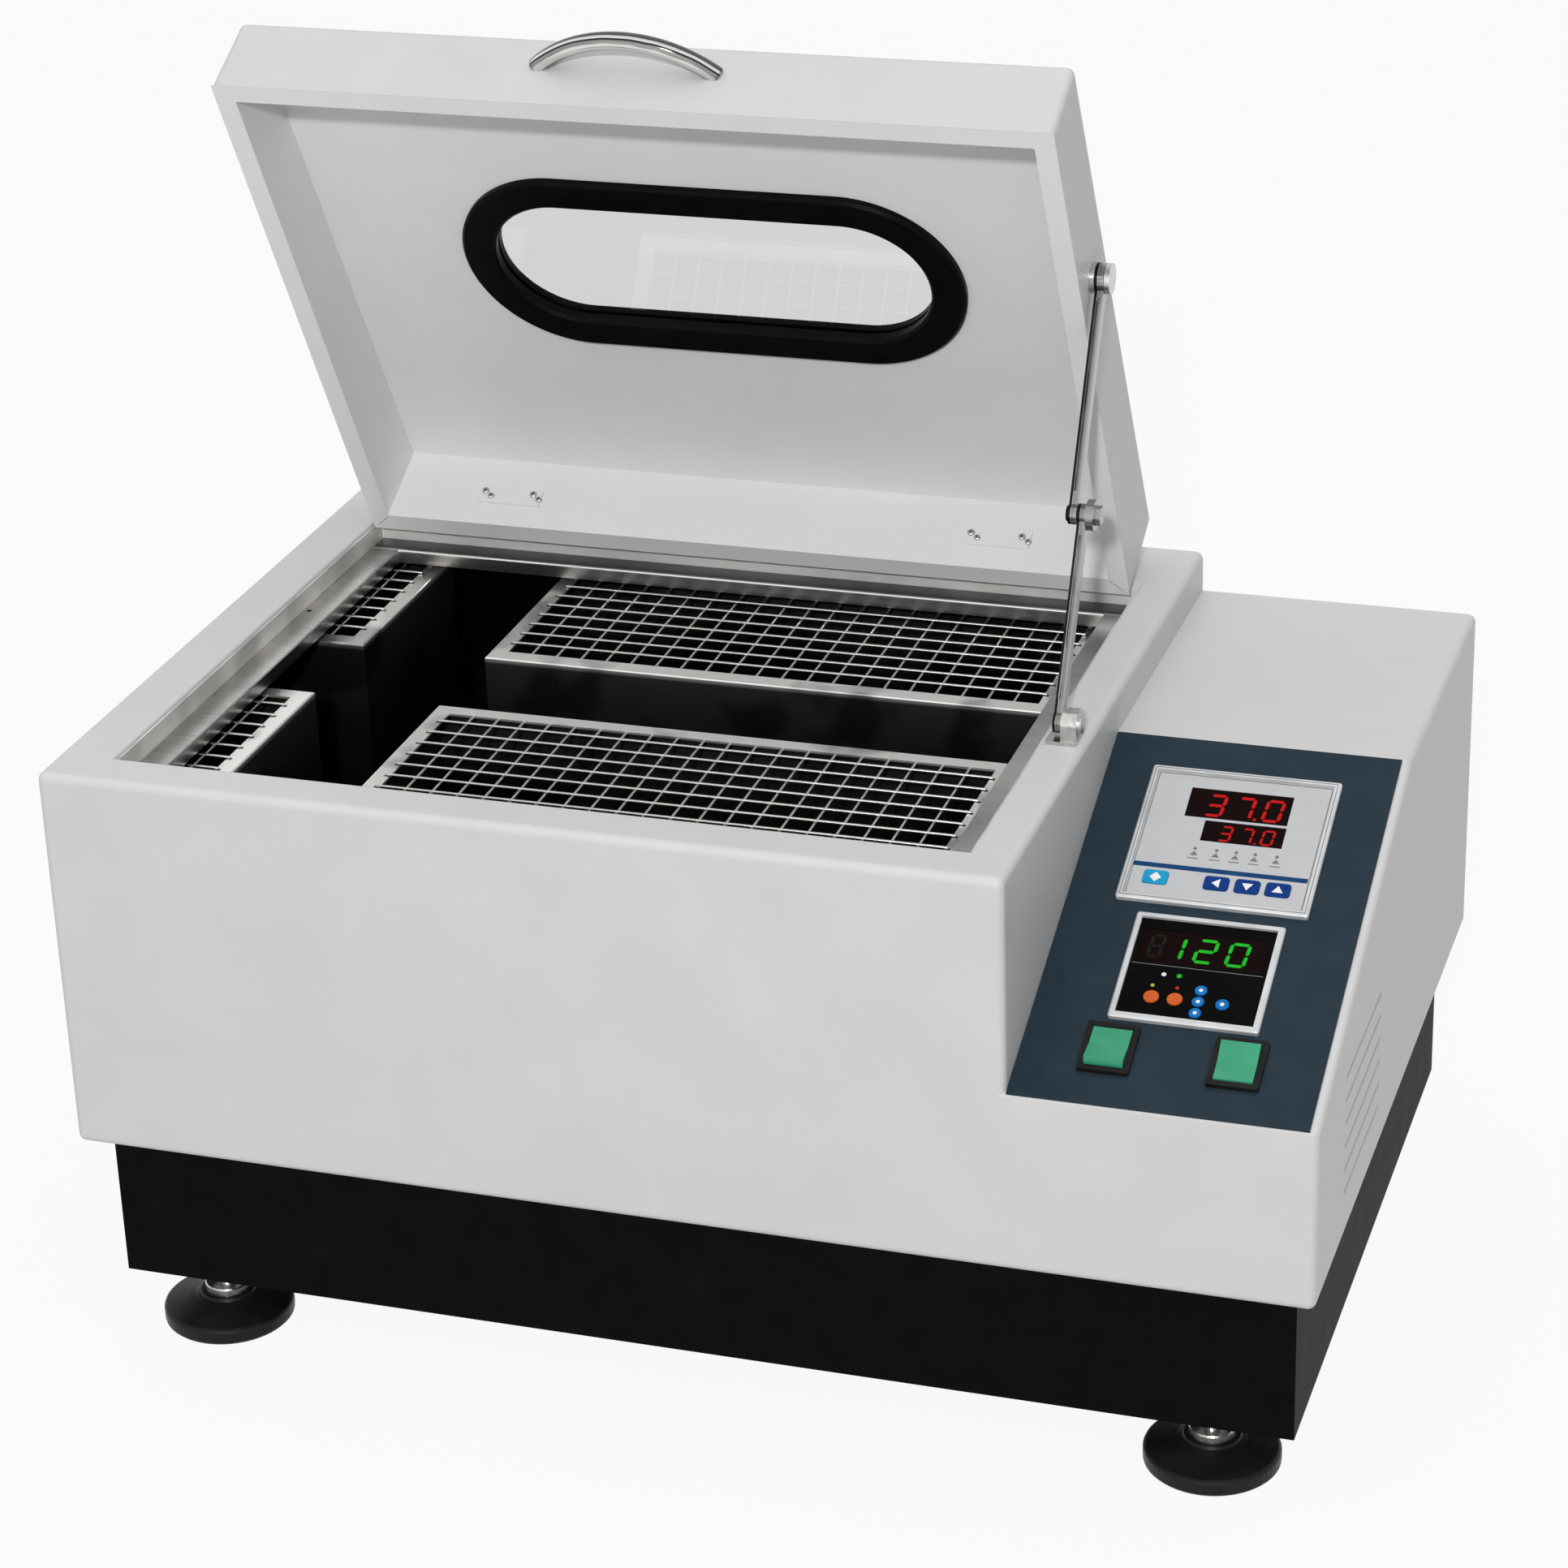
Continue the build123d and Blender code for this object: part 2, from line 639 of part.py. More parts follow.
def stadium_ring(z, outer, inner, mode=Mode.ADD):
    """Ring in the lid's top plane between two insets of the gasket's outline."""
    with BuildSketch(top_local.offset(z[0])) as ring:
        SlotOverall(window_l - 2 * outer, window_w - 2 * outer)
        if inner is not None:
            SlotOverall(window_l - 2 * inner, window_w - 2 * inner, mode=Mode.SUBTRACT)
    extrude(ring.sketch, amount=z[1] - z[0], mode=mode)


def save_lid(builder, name):
    """Tips the closed piece open about the hinge and writes it."""
    piece = lid_plane.location * builder.part
    piece.label = name
    export_step(piece, "parts/" + name + ".step")


hole_inset = 7.5
with BuildPart() as lid_shell:
    lid_prism(lid_x, lid_y, rim_z, 0)
    fillet(lid_shell.edges().filter_by(lambda e: e.center().Z > rim_z + 1), 4.0)
    lid_prism(shrink(lid_x, lid_t), shrink(lid_y, lid_t), rim_z - 1, lid_t, mode=Mode.SUBTRACT)
    stadium_ring((-4, 4), hole_inset, None, mode=Mode.SUBTRACT)
save_lid(lid_shell, "lid_shell")

liner_x = shrink(lid_x, rim_band)
liner_y = (lid_y[0] + rim_band, lid_y[1] - rim_band - 1)
liner_slip = 0.2
with BuildPart() as lid_liner:
    block(shrink(lid_x, lid_t + liner_slip), shrink(lid_y, lid_t + liner_slip),
          (rim_z, rim_z + liner_t))
    lid_prism(shrink(liner_x, -liner_t), shrink(liner_y, -liner_t), rim_z, lid_core - liner_t)
    lid_prism(liner_x, liner_y, rim_z - 1, lid_core, mode=Mode.SUBTRACT)
    stadium_ring((-lid_core - 3, 0), hole_inset, None, mode=Mode.SUBTRACT)
save_lid(lid_liner, "lid_liner")

glass_inset = window_band - glass_lap
glass_z = (-5.5, -5.5 + glass_t)
with BuildPart() as window_gasket:
    stadium_ring((0, gasket_out), 0, window_band)
    stadium_ring((-lid_core, 0), hole_inset + 0.2, window_band)
    stadium_ring((-lid_core - gasket_in, -lid_core), 0, window_band)
    stadium_ring((glass_z[0] - 0.1, glass_z[1] + 0.1), glass_inset - 0.1, None, mode=Mode.SUBTRACT)
    chamfer(
        window_gasket.edges().group_by(lambda e: top_local.to_local_coords(e.center()).Z)[0],
        1.5,
    )
save_lid(window_gasket, "window_gasket")

with BuildPart() as window_glass:
    stadium_ring(glass_z, glass_inset, None)
save_lid(window_glass, "window_glass")

handle_mid = (lid_x[0] + lid_x[1]) / 2 - 4.5
handle_pitch = 96.0
handle_x = (handle_mid - handle_pitch / 2, handle_mid + handle_pitch / 2)
handle_z = rim_z + 28
bow_r = 4.7
bow_out = 19.0
bow_rise = bow_out + 1  # its ends start inside the lid's front and are cut flush
bow_bend = ((handle_pitch / 2) ** 2 + bow_rise ** 2) / (2 * bow_rise)
bow_half = math.asin(handle_pitch / 2 / bow_bend)
bow_centre = (handle_mid, lid_y[0] - bow_out + bow_bend, handle_z)
with BuildPart() as handle:
    outward = Vector(-math.sin(bow_half), -math.cos(bow_half), 0)
    with BuildSketch(Plane(Vector(bow_centre) + outward * bow_bend, x_dir=outward,
                           z_dir=outward.cross(Vector(0, 0, 1)))) as section:
        RegularPolygon(bow_r, 8, rotation=22.5)
    revolve(section.sketch, axis=Axis(bow_centre, (0, 0, 1)),
            revolution_arc=math.degrees(2 * bow_half))
    block((handle_x[0] - 20, handle_x[1] + 20), (lid_y[0], lid_y[0] + 20),
          (handle_z - 15, handle_z + 15), mode=Mode.SUBTRACT)
save_lid(handle, "handle")

# ---------------------------------------------------------------- hinges
hinge_at = (lid_x[0] + 80.0, lid_x[1] - 78.0)
leaf_w = 37.0
leaf_t = 1.6
knuckle_r = 2.6
hinge_pin_r = 1.2
knuckle_mid = 13.0      # the lid's knuckle, between two fixed ones


def x_rod(x, y, z, r, mode=Mode.ADD):
    with Locations(((x[0] + x[1]) / 2, y, z)):
        Cylinder(r, x[1] - x[0], rotation=(0, 90, 0), mode=mode)


with BuildPart() as hinge_leaves_fixed:
    for cx in hinge_at:
        block((cx - leaf_w / 2, cx + leaf_w / 2), (hinge_y + 3.2, hinge_y + 22),
              (top_z, top_z + leaf_t))
        for side in (-1, 1):
            low = cx + side * (knuckle_mid / 2 + slip)
            high = cx + side * leaf_w / 2
            span = (min(low, high), max(low, high))
            x_rod(span, hinge_y, hinge_z, knuckle_r)
            block(span, (hinge_y, hinge_y + 4), (top_z, hinge_z))
            x_rod(span, hinge_y, hinge_z, hinge_pin_r + run_fit, mode=Mode.SUBTRACT)
save(hinge_leaves_fixed, "hinge_leaves_fixed")

with BuildPart() as hinge_pins:
    for cx in hinge_at:
        x_rod((cx - leaf_w / 2 - 0.8, cx + leaf_w / 2 + 0.8), hinge_y, hinge_z, hinge_pin_r)
        for side in (-1, 1):
            low = cx + side * (leaf_w / 2 + 0.3)
            high = cx + side * (leaf_w / 2 + 1.0)
            x_rod((min(low, high), max(low, high)), hinge_y, hinge_z, 2.0)
save(hinge_pins, "hinge_pins")

with BuildPart() as hinge_leaves_lid:
    for cx in hinge_at:
        mid = (cx - knuckle_mid / 2, cx + knuckle_mid / 2)
        x_rod(mid, 0, 0, knuckle_r)
        block(mid, (lid_y[1], 0), (0, knuckle_r))
        block((cx - leaf_w / 2, cx + leaf_w / 2), (lid_y[1], lid_y[1] + leaf_t), (3.2, 22))
        block(mid, (lid_y[1], lid_y[1] + leaf_t), (0, 4))
        x_rod(mid, 0, 0, hinge_pin_r + run_fit, mode=Mode.SUBTRACT)
save_lid(hinge_leaves_lid, "hinge_leaves_lid")

backing_h = 12.5
with BuildPart() as hinge_backings:
    for cx in hinge_at:
        block((cx - leaf_w / 2, cx + leaf_w / 2), (liner_y[1] - 1.6, liner_y[1]),
              (6 - backing_h / 2, 6 + backing_h / 2))
save_lid(hinge_backings, "hinge_backings")

# ---------------------------------------------------------------- lid stay
pivot_rise = 9.0        # both outer pivots over the casing's top, lid closed
low_reach = 212.6       # hinge axis to the bracket's pivot
up_reach = 227.6        # hinge axis to the lid's pivot
stay_low = (hinge_y - low_reach, top_z + pivot_rise)    # y and z
stay_up = (-up_reach, top_z + pivot_rise - hinge_z)     # from the hinge, closed
stay_up_open = (
    hinge_y + stay_up[0] * math.cos(turn) + stay_up[1] * math.sin(turn),
    hinge_z - stay_up[0] * math.sin(turn) + stay_up[1] * math.cos(turn),
)
reach_open = math.dist(stay_low, stay_up_open)
reach_shut = math.dist(stay_low, (hinge_y + stay_up[0], hinge_z + stay_up[1]))
arm_low = (reach_open - reach_shut) / 2
stay_angle = math.atan2(stay_up_open[1] - stay_low[1], stay_up_open[0] - stay_low[0])
elbow = (
    stay_low[0] + arm_low * math.cos(stay_angle),
    stay_low[1] + arm_low * math.sin(stay_angle),
)
arm_h = 7.0
arm_t = 4.6
groove_h = 3.5          # depth of the channel along each arm's front edge
groove_w = 2.2
arm_gap = 0.5
rivet_r = 2.5
eye_r = 5.5
drum_r = 8.0            # the round bosses at the lid and at the elbow
boss_t = 2.9
upper_x = (lid_x[1] + boss_t + slip, lid_x[1] + boss_t + slip + arm_t)
lower_x = (upper_x[1] + arm_gap, upper_x[1] + arm_gap + arm_t)


def arm(start, end, x, end_r):
    """Channel link between two pivots in the Y-Z plane, with round eyes."""
    length = math.dist(start, end)
    lean = math.degrees(math.atan2(end[1] - start[1], end[0] - start[0]))
    middle = ((start[0] + end[0]) / 2, (start[1] + end[1]) / 2)
    with BuildSketch(Plane.YZ.offset(x[0])) as link:
        with Locations(Location(middle, lean)):
            Rectangle(length, arm_h)
        with Locations(start):
            Circle(eye_r)
        with Locations(end):
            Circle(end_r)
    extrude(link.sketch, amount=x[1] - x[0])
    with BuildSketch(Plane.YZ.offset((x[0] + x[1] - groove_w) / 2)) as groove:
        with Locations(Location(middle, lean)):
            with Locations((0, arm_h / 2)):
                Rectangle(length - 4 * eye_r, 2 * groove_h)
    extrude(groove.sketch, amount=groove_w, mode=Mode.SUBTRACT)


with BuildPart() as stay_lower_arm:
    arm(stay_low, elbow, lower_x, eye_r)
    x_rod((lower_x[0] - 1, lower_x[1] + 1), stay_low[0], stay_low[1], rivet_r + run_fit,
          mode=Mode.SUBTRACT)
    # clamp drum and nut at the elbow
    x_rod((lower_x[1], lower_x[1] + 4), elbow[0], elbow[1], drum_r)
    with BuildSketch(Plane.YZ.offset(lower_x[1] + 4)):
        with Locations(elbow):
            RegularPolygon(5.2, 6)
    extrude(amount=3)
save(stay_lower_arm, "stay_lower_arm")

with BuildPart() as stay_upper_arm:
    arm(elbow, stay_up_open, upper_x, drum_r)
    x_rod((upper_x[0] - 1, upper_x[1] + 1), stay_up_open[0], stay_up_open[1],
          rivet_r + run_fit, mode=Mode.SUBTRACT)
    x_rod((upper_x[0] - 1.2, upper_x[0]), elbow[0], elbow[1], 4)
save(stay_upper_arm, "stay_upper_arm")

bracket_x = (lower_x[1] + slip, lower_x[1] + 8.5)
with BuildPart() as stay_bracket:
    # cheek beside the arm, foot plate under it and the pivot pin
    block(bracket_x, (stay_low[0] - 8, stay_low[0] + 8), (top_z, stay_low[1]))
    x_rod(bracket_x, stay_low[0], stay_low[1], drum_r)
    block((open_x[1] + 3, bracket_x[1]), (stay_low[0] - 9, stay_low[0] + 9), (top_z, top_z + 2))
    x_rod((lower_x[0] + 0.2, bracket_x[0] + 1), stay_low[0], stay_low[1], rivet_r)
    with BuildSketch(Plane.YZ.offset(bracket_x[1])):
        with Locations(stay_low):
            Circle(5)
    extrude(amount=1.5)
save(stay_bracket, "stay_bracket")

with BuildPart() as stay_boss:
    x_rod((lid_x[1], lid_x[1] + boss_t), stay_up[0], stay_up[1], drum_r)
    x_rod((lid_x[1], upper_x[1] + 1), stay_up[0], stay_up[1], rivet_r)
    x_rod((upper_x[1] + slip, upper_x[1] + 3), stay_up[0], stay_up[1], drum_r)
save_lid(stay_boss, "stay_boss")

# ---------------------------------------------------------------- control panel
panel_x = (wall_x + 0.4, right - panel_side)
panel_s = (1.2, slope_len - 0.8)
with BuildPart() as control_panel:
    with BuildSketch(slope_plane):
        with Locations(((panel_x[0] + panel_x[1]) / 2, -(panel_s[0] + panel_s[1]) / 2)):
            Rectangle(panel_x[1] - panel_x[0], panel_s[1] - panel_s[0])
        with Locations((temp_at[0], -temp_at[1])):
            Rectangle(temp_body[0] + 1, temp_body[1] + 1, mode=Mode.SUBTRACT)
        with Locations((speed_at[0], -speed_at[1])):
            Rectangle(speed_body[0] + 1, speed_body[1] + 1, mode=Mode.SUBTRACT)
        with Locations((switch_left, -switch_s), (switch_right, -switch_s)):
            Rectangle(switch_w - 3, switch_l - 3, mode=Mode.SUBTRACT)
    extrude(amount=panel_t)
save(control_panel, "control_panel")

# Keys, from the instrument's centre: across, down the slope; a round key has a radius
temp_key_s = temp_at[1] + 30.1
temp_keys = {
    "temp_key_set": (temp_at[0] - 31.6, temp_key_s),
    "temp_key_shift": (temp_at[0] - 0.6, temp_key_s),
    "temp_key_down": (temp_at[0] + 15.0, temp_key_s),
    "temp_key_up": (temp_at[0] + 30.5, temp_key_s),
}
temp_key_w = 12.5
temp_key_l = 9.0
speed_key_s = speed_at[1] + 18.9
speed_keys = {
    "speed_key_start": (speed_at[0] - 18.9, speed_key_s, 3.8),
    "speed_key_stop": (speed_at[0] - 7.2, speed_key_s, 3.8),
    "speed_key_up": (speed_at[0] + 4.4, speed_key_s - 7.3, 3.0),
    "speed_key_set": (speed_at[0] + 4.4, speed_key_s, 3.0),
    "speed_key_down": (speed_at[0] + 4.4, speed_key_s + 7.3, 3.0),
    "speed_key_mode": (speed_at[0] + 16.4, speed_key_s, 3.3),
}
face_top = panel_t + bezel_h - face_drop
face_under = face_top - face_t
windows = {
    "temp": [
        (temp_at[0] + 0.1, temp_at[1] - 23.6, 52.5, 20.0),
        (temp_at[0] + 5.9, temp_at[1] - 4.9, 41.5, 14.0),
    ],
    "speed": [(speed_at[0] - 0.2, speed_at[1] - 14.4, 62.0, 21.0)],
}
window_t = 1.6
window_slip = 0.1


def key_outline(place, grow):
    with Locations((place[0], -place[1])):
        if len(place) == 2:
            RectangleRounded(temp_key_w + 2 * grow, temp_key_l + 2 * grow, 1.8 + grow)
        else:
            Circle(place[2] + grow)


def instrument(name, at, size, body, keys, panes):
    """Housing with its bezel, and the face plate that lies in it."""
    centre = (at[0], -at[1])
    with BuildPart() as housing:
        with BuildSketch(slope_plane.offset(panel_t)):
            with Locations(centre):
                RectangleRounded(size[0], size[1], 1.5)
        extrude(amount=bezel_h)
        chamfer(housing.edges().group_by(
            lambda e: slope_plane.to_local_coords(e.center()).Z)[-1], 0.8)
        with BuildSketch(slope_plane.offset(panel_t - instrument_depth)):
            with Locations(centre):
                Rectangle(body[0], body[1])
        extrude(amount=instrument_depth)
        with BuildSketch(slope_plane.offset(face_under)):
            with Locations(centre):
                Rectangle(size[0] - 2 * bezel_rim, size[1] - 2 * bezel_rim)
        extrude(amount=10, mode=Mode.SUBTRACT)
        with BuildSketch(slope_plane.offset(face_under)):
            for place in keys:
                key_outline(place, flange_out + slip)
        extrude(amount=-(collar_t + key_gap + key_travel + slip), mode=Mode.SUBTRACT)
        with BuildSketch(slope_plane.offset(face_top - window_t)):
            for x, s, w, l in panes:
                with Locations((x, -s)):
                    Rectangle(w + 2 * window_slip, l + 2 * window_slip)
        extrude(amount=5, mode=Mode.SUBTRACT)
    save(housing, name + "_housing")
    with BuildPart() as face:
        with BuildSketch(slope_plane.offset(face_under)):
            with Locations(centre):
                Rectangle(size[0] - 2 * bezel_rim - 0.2, size[1] - 2 * bezel_rim - 0.2)
            for x, s, w, l in panes:
                with Locations((x, -s)):
                    Rectangle(w + 2 * window_slip, l + 2 * window_slip, mode=Mode.SUBTRACT)
        extrude(amount=face_t)
        with BuildSketch(slope_plane.offset(face_under - 1)):
            for place in keys:
                key_outline(place, key_gap)
        extrude(amount=face_t + 2, mode=Mode.SUBTRACT)
    save(face, name + "_face")


instrument("temp", temp_at, temp_size, temp_body, temp_keys.values(), windows["temp"])
instrument("speed", speed_at, speed_size, speed_body, speed_keys.values(), windows["speed"])

with BuildPart() as display_windows:
    for panes in windows.values():
        for x, s, w, l in panes:
            with BuildSketch(slope_plane.offset(face_top - window_t)):
                with Locations((x, -s)):
                    Rectangle(w, l)
            extrude(amount=window_t - 0.2)
save(display_windows, "display_windows")


def key(name, place):
    """Key cap with a collar under the face that keeps it in."""
    with BuildPart() as piece:
        with BuildSketch(slope_plane.offset(face_under - key_gap - collar_t)):
            key_outline(place, flange_out)
        extrude(amount=collar_t)
        with BuildSketch(slope_plane.offset(face_under - key_gap)):
            key_outline(place, 0)
        extrude(amount=key_gap + face_t + key_proud)
    save(piece, name)


for key_name, key_place in list(temp_keys.items()) + list(speed_keys.items()):
    key(key_name, key_place)

# ---------------------------------------------------------------- rocker switches
pivot_z = panel_t + switch_h - 3.0      # rocker axis over the slope
slot_l = 2 * (rocker_r + slip)
with BuildPart() as switch_bodies:
    for cx in (switch_left, switch_right):
        with BuildSketch(slope_plane.offset(panel_t)):
            with Locations((cx, -switch_s)):
                RectangleRounded(switch_w, switch_l, 1.5)
        extrude(amount=switch_h)
        with BuildSketch(slope_plane.offset(panel_t)):
            with Locations((cx, -switch_s)):
                Rectangle(switch_w - 4, switch_l - 4)
        extrude(amount=-24)
        with BuildSketch(slope_plane.offset(pivot_z - 9)):
            with Locations((cx, -switch_s)):
                Rectangle(rocker_w + 2 * slip, slot_l)
        extrude(amount=20, mode=Mode.SUBTRACT)
save(switch_bodies, "switch_bodies")


def rocker(name, cx, tilt):
    """Rocker with a hollowed top, turned about its cross axis by tilt degrees."""
    axis_at = slope_plane.from_local_coords(Vector(cx, -switch_s, pivot_z))
    lean = math.radians(tilt)
    along = slope_plane.y_dir * math.cos(lean) + slope_plane.z_dir * math.sin(lean)
    side = Plane(origin=axis_at, x_dir=along, z_dir=(1, 0, 0))
    with BuildPart() as piece:
        with BuildSketch(side):
            Circle(rocker_r)
            Polygon((-20, -20), (20, -20), (20, -3), (-20, -3), align=None, mode=Mode.SUBTRACT)
            Polygon((-20, 20), (20, 20), (20, 5.0), (11, 5.0), (0, 3.6), (-11, 5.0), (-20, 5.0),
                    align=None, mode=Mode.SUBTRACT)
        extrude(amount=rocker_w / 2, both=True)
    save(piece, name)


rocker("power_rocker", switch_left, -rocker_tilt)
rocker("start_rocker", switch_right, rocker_tilt)

# ---------------------------------------------------------------- levelling feet
foot_names = ("foot_front_left", "foot_front_right", "foot_back_left", "foot_back_right")
for foot_name, at in zip(foot_names, feet_at):
    with BuildPart() as foot:
        with BuildSketch(Plane.XZ):
            Polygon((0, 0), (pad_r - 2, 0), (pad_r, 2), (pad_r, pad_h), (pad_r - 2, pad_h + 1.5),
                    (15, pad_h + 6), (12, pad_h + 8), (12, pad_h + 12), (0, pad_h + 12), align=None)
        revolve(axis=Axis.Z)
        disc((0, 0), stud_r, (pad_h + 11, foot_h + sheet + bush_h + 4))
        with BuildSketch(Plane.XY.offset(pad_h + 15)):
            RegularPolygon(9, 6)
        extrude(amount=6)
    piece = Location((at[0], at[1], 0)) * foot.part
    piece.label = foot_name
    export_step(piece, "parts/" + foot_name + ".step")
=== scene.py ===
import math

import bpy
import bmesh
from mathutils import Matrix, Vector


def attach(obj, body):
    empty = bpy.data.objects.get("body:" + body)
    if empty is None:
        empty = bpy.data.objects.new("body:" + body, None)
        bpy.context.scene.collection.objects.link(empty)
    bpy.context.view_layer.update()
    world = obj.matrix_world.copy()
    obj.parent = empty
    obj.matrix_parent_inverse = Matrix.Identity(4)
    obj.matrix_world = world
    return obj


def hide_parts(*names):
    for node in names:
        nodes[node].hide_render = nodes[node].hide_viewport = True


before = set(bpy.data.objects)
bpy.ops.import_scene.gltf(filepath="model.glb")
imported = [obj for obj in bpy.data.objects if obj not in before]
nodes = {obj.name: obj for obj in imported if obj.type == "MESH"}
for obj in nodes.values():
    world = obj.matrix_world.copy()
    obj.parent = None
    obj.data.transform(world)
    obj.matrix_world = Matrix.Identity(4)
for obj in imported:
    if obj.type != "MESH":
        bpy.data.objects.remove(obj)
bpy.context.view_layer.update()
MM = 0.001

# ------------------------------------------------------------------ layout, mm
LEFT, RIGHT, FRONT, BACK = -329.0, 329.0, -215.0, 215.0
TOP = 333.0
HINGE_Y, HINGE_Z = 162.6, 336.0
TURN = math.radians(62.0)                               # how far the lid stands open
SLOPE_RUN, SLOPE_RISE = 230.0, 92.0                     # the console's slope
FOLD_Y, FOLD_Z = FRONT + SLOPE_RUN, 310.0               # its upper fold
SLOPE = math.hypot(SLOPE_RUN, SLOPE_RISE)
HINGE_AT = (LEFT + 113.5, LEFT + 401.5)                 # middles of the two hinges
LID_LEFT, LID_RIGHT = LEFT + 33.5, LEFT + 479.5
LID_FRONT, LID_BACK = -348.1, -3.1                      # from the hinge axis, lid closed
RIM = -15.5                                             # the lid's lower edge, likewise
HANDLE_MID, HANDLE_Z = -77.0, 12.5                      # middle of the handle, likewise
BOW_R, BOW_OUT, BOW_PITCH = 4.7, 19.0, 96.0             # its tube, its reach and its width
RACK_TOP = 307.0


# ------------------------------------------------------------------ materials
def material(name):
    """A new node material, its node tree and its surface shader."""
    m = bpy.data.materials.new(name)
    m.use_nodes = True
    nt = m.node_tree
    return m, nt, nt.nodes["Principled BSDF"]


def node(nt, kind, **values):
    """A new shader node; each value goes to the input of that name, or to the setting."""
    n = nt.nodes.new(kind)
    for key, value in values.items():
        if key in n.inputs:
            n.inputs[key].default_value = value
        else:
            setattr(n, key, value)
    return n


def link(nt, a, out, b, inp):
    nt.links.new(a.outputs[out], b.inputs[inp])


def coords(nt, stretch=(1, 1, 1)):
    """The object's own coordinates in metres, stretched."""
    tc = node(nt, "ShaderNodeTexCoord")
    mp = node(nt, "ShaderNodeMapping")
    mp.inputs["Scale"].default_value = stretch
    link(nt, tc, "Object", mp, "Vector")
    return mp


def ramp(nt, stops):
    """A colour ramp through (position, colour) stops."""
    r = node(nt, "ShaderNodeValToRGB")
    els = r.color_ramp.elements
    while len(els) < len(stops):
        els.new(0.5)
    for el, (pos, col) in zip(els, stops):
        el.position = pos
        el.color = (*col, 1.0)
    return r


def grey(v):
    return (v, v, v)


def speckled(name, low, high, rough, scale=60, bump=0.0, bump_scale=900, stretch=(1, 1, 1),
             metallic=0.0, shine=0.5, rough_spread=0.05):
    """Surface whose colour and gloss drift a little, with an optional fine grain."""
    m, nt, p = material(name)
    at = coords(nt, stretch)
    n1 = node(nt, "ShaderNodeTexNoise", Scale=scale, Detail=3.0)
    link(nt, at, "Vector", n1, "Vector")
    r1 = ramp(nt, [(0.3, low), (0.7, high)])
    link(nt, n1, "Fac", r1, "Fac")
    link(nt, r1, "Color", p, "Base Color")
    mr = node(nt, "ShaderNodeMapRange")
    mr.inputs["To Min"].default_value = max(0.0, rough - rough_spread)
    mr.inputs["To Max"].default_value = rough + rough_spread
    link(nt, n1, "Fac", mr, "Value")
    link(nt, mr, "Result", p, "Roughness")
    p.inputs["Metallic"].default_value = metallic
    p.inputs["Specular IOR Level"].default_value = shine
    if bump:
        n2 = node(nt, "ShaderNodeTexNoise", Scale=bump_scale, Detail=2.0)
        link(nt, at, "Vector", n2, "Vector")
        b = node(nt, "ShaderNodeBump", Strength=bump, Distance=0.0002)
        link(nt, n2, "Fac", b, "Height")
        link(nt, b, "Normal", p, "Normal")
    return m


def brushed(name, low, high, rough, stretch, bump=0.15):
    """Sheet metal with a drawn grain along one direction."""
    return speckled(name, low, high, rough, scale=40, bump=bump, bump_scale=120,
                    stretch=stretch, metallic=1.0, rough_spread=0.1)


def glowing(name, colour, strength):
    """Lit print or a lamp, with a fine drift of colour."""
    m, nt, p = material(name)
    at = coords(nt)
    n1 = node(nt, "ShaderNodeTexNoise", Scale=400.0, Detail=1.0)
    link(nt, at, "Vector", n1, "Vector")
    lo = tuple(c * 0.85 for c in colour)
    r1 = ramp(nt, [(0.3, lo), (0.7, colour)])
    link(nt, n1, "Fac", r1, "Fac")
    link(nt, r1, "Color", p, "Base Color")
    link(nt, r1, "Color", p, "Emission Color")
    p.inputs["Emission Strength"].default_value = strength
    p.inputs["Specular IOR Level"].default_value = 0.04
    p.inputs["Roughness"].default_value = 0.4
    return m


WARM = (1.0, 0.975, 0.945)


def warm(v):
    return tuple(v * c for c in WARM)


def sheet_metal(name, low, high, rough, cloud, streak, bump=0.1):
    """Stainless sheet: soft cloudy tone, fine drawn streaks along one direction."""
    m, nt, p = material(name)
    at = coords(nt)
    drawn = coords(nt, streak)
    soft = node(nt, "ShaderNodeTexNoise", Scale=cloud, Detail=2.0, Roughness=0.4)
    link(nt, at, "Vector", soft, "Vector")
    fine = node(nt, "ShaderNodeTexNoise", Scale=60.0, Detail=2.0)
    link(nt, drawn, "Vector", fine, "Vector")
    both = node(nt, "ShaderNodeMix", data_type="FLOAT")
    both.inputs[0].default_value = 0.25
    link(nt, soft, "Fac", both, 2)
    link(nt, fine, "Fac", both, 3)
    tone = ramp(nt, [(0.34, warm(low)), (0.64, warm(high))])
    link(nt, both, 0, tone, "Fac")
    link(nt, tone, "Color", p, "Base Color")
    gloss = node(nt, "ShaderNodeMapRange")
    gloss.inputs["To Min"].default_value = rough + 0.06
    gloss.inputs["To Max"].default_value = rough - 0.06
    link(nt, soft, "Fac", gloss, "Value")
    link(nt, gloss, "Result", p, "Roughness")
    p.inputs["Metallic"].default_value = 1.0
    b = node(nt, "ShaderNodeBump", Strength=bump, Distance=0.0001)
    link(nt, fine, "Fac", b, "Height")
    link(nt, b, "Normal", p, "Normal")
    return m


